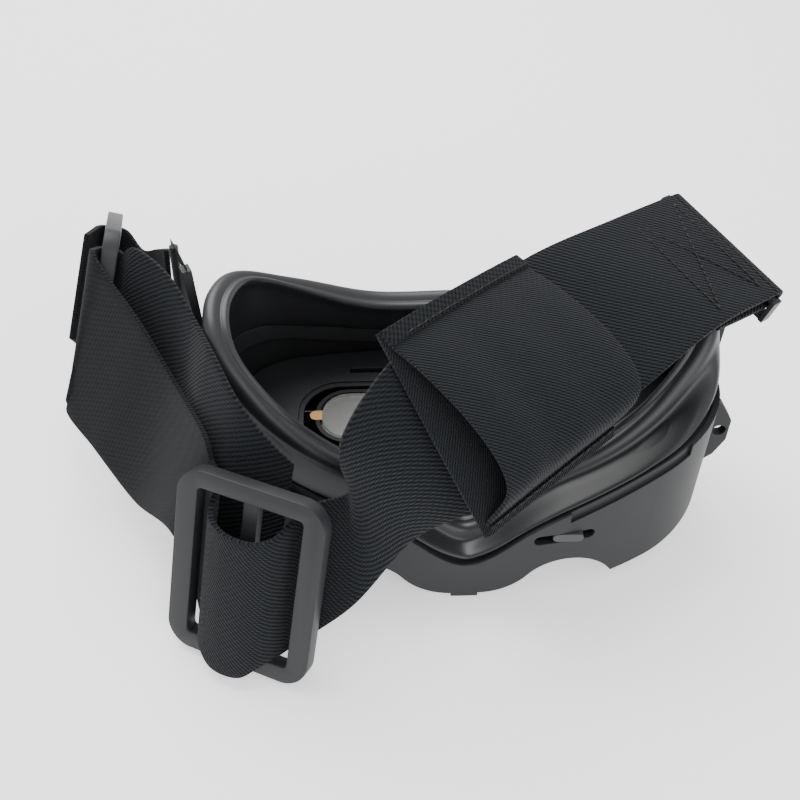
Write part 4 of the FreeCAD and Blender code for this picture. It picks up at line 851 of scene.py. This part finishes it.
def rounded_copy(node, name):
    """A copy of a frame piece with its edges rounded, in place of the frame's own."""
    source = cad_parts[node]
    clear_selection()
    obj = source.copy()
    obj.data = source.data.copy()
    obj.name = name
    bpy.context.collection.objects.link(obj)
    obj.hide_render = False
    make_active(obj)
    bpy.ops.object.mode_set(mode="EDIT")
    bpy.ops.mesh.select_all(action="SELECT")
    bpy.ops.mesh.remove_doubles(threshold=0.00002)
    bpy.ops.mesh.dissolve_limited(angle_limit=math.radians(3))
    bpy.ops.mesh.select_all(action="SELECT")
    bpy.ops.mesh.normals_make_consistent(inside=False)
    bpy.ops.object.mode_set(mode="OBJECT")
    rounding = obj.modifiers.new("rounding", "BEVEL")
    rounding.width = BUCKLE_ROUND
    rounding.segments = 3
    rounding.limit_method = "ANGLE"
    rounding.angle_limit = math.radians(28)
    rounding.use_clamp_overlap = True
    apply_modifiers(obj)
    bpy.ops.object.shade_smooth_by_angle(angle=math.radians(40))
    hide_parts(node)
    return obj


for node in ("adjuster_buckle", "rear_buckle"):
    buckle = rounded_copy(node, node + "_rounded")
    dress(buckle, buckle_nylon)
    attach(buckle, "headset")
    print(buckle.name, len(buckle.data.polygons))

# %% [markdown]
# Each stitch is a short length of thread that dips into the cloth at both ends. One capsule is modelled, and
# a row of it is laid along a line of places on the webbing, all in one mesh.

# %% Stitches
def stitch_shape():
    """A capsule 1 m long along X with a radius of 1, as points and faces."""
    bpy.ops.mesh.primitive_uv_sphere_add(segments=6, ring_count=6, radius=1.0, rotation=(0, math.pi / 2, 0))
    obj = bpy.context.object
    bpy.ops.object.transform_apply(location=False, rotation=True, scale=True)
    points = np.array([v.co[:] for v in obj.data.vertices])
    faces = [list(p.vertices) for p in obj.data.polygons]
    bpy.data.objects.remove(obj, do_unlink=True)
    return points, faces


STITCH_POINTS, STITCH_FACES = stitch_shape()
STITCH_GAP = 1.1
STITCH_RADIUS = 0.32


def stitch_rows(name, lines, finish, length_mm):
    """Rows of stitches along lines of places, in metres."""
    points, faces = [], []
    for line in lines:
        line = np.array(line)
        run = run_along(line)
        pitch = (length_mm + STITCH_GAP) * MM
        count = max(1, int(run[-1] / pitch))
        for i in range(count):
            ends = [(i + 0.1) * run[-1] / count, (i + 0.9) * run[-1] / count]
            a, b = (np.array([np.interp(s, run, line[:, j]) for j in range(3)]) for s in ends)
            along = (b - a) / 2
            forward = along / np.linalg.norm(along)
            side = np.cross(forward, (0.3, -0.2, 0.93))
            side /= np.linalg.norm(side)
            top = np.cross(side, forward)
            start = len(points)
            turn = random.uniform(-0.06, 0.06)
            for p in STITCH_POINTS:
                thick = (side * (p[1] + turn * p[0] * 8) + top * p[2]) * STITCH_RADIUS * MM
                points.append(tuple((a + b) / 2 + along * p[0] + thick))
            faces += [[start + v for v in face] for face in STITCH_FACES]
    mesh = bpy.data.meshes.new(name)
    mesh.from_pydata(points, [], faces)
    obj = bpy.data.objects.new(name, mesh)
    bpy.context.collection.objects.link(obj)
    make_active(obj)
    bpy.ops.object.shade_smooth()
    dress(obj, finish)
    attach(obj, "headset")
    print(name, "stitch lines:", len(lines))


THREAD_LIFT = 1.15


def on_long_strap(along, across):
    """A place on the outside of the sewn end: millimetres from the fold and from the upper edge."""
    start = end_upper + (end_lower - end_upper) * (across / (2 * HALF_WEBBING))
    return tuple((start - end_along * along - end_under * THREAD_LIFT) * MM)


def straight(a, b):
    """Places evenly along a straight line."""
    a, b = np.array(a), np.array(b)
    return [tuple(a + (b - a) * k) for k in np.linspace(0, 1, 24)]


BOX = [(3.5, 3.5), (3.5, 45.0), (24.0, 46.0), (24.0, 3.0)]
box_lines = [straight(on_long_strap(*BOX[i]), on_long_strap(*BOX[j])) for i, j in ((0, 1), (2, 3))]
cross_lines = [straight(on_long_strap(*BOX[i]), on_long_strap(*BOX[j])) for i, j in ((0, 2), (1, 3))]
stitch_rows("strap_end_stitches", box_lines + cross_lines, black_thread, 1.6)

hem_row = [tuple(sleeve_place(k, 0.058, 1.3)) for k in np.linspace(0.03, 0.9, 60)]
low_row = [tuple(sleeve_place(k, 0.966, 1.3)) for k in np.linspace(0.03, 0.97, 60)]
stitch_rows("sleeve_stitches", [hem_row, low_row], black_thread, 1.7)

# %% [markdown]
# A loose end of thread sticks out of the band's cut end beside the buckle. It is a thin curve with a round
# section, made a mesh so that it is one more piece of the strap.

# %% The loose thread
LOOSE_RADIUS = 0.16


def loose_thread(name, points, finish):
    """A thin round thread through points, in millimetres."""
    curve = bpy.data.curves.new(name, "CURVE")
    curve.dimensions = "3D"
    curve.bevel_depth = LOOSE_RADIUS * MM
    curve.bevel_resolution = 2
    curve.use_fill_caps = True
    spline = curve.splines.new("NURBS")
    spline.points.add(len(points) - 1)
    for spot, place in zip(spline.points, points):
        spot.co = (place[0] * MM, place[1] * MM, place[2] * MM, 1.0)
    spline.order_u = 3
    spline.use_endpoint_u = True
    obj = bpy.data.objects.new(name, curve)
    bpy.context.collection.objects.link(obj)
    make_active(obj)
    bpy.ops.object.convert(target="MESH")
    obj = bpy.context.object
    dress(obj, finish)
    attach(obj, "headset")


loose_thread("loose_thread_end", [(-60.5, -42.5, 20.0), (-57.0, -43.5, 17.5), (-55.5, -46.0, 13.0),
                                  (-58.0, -47.0, 9.0)], pale_thread)
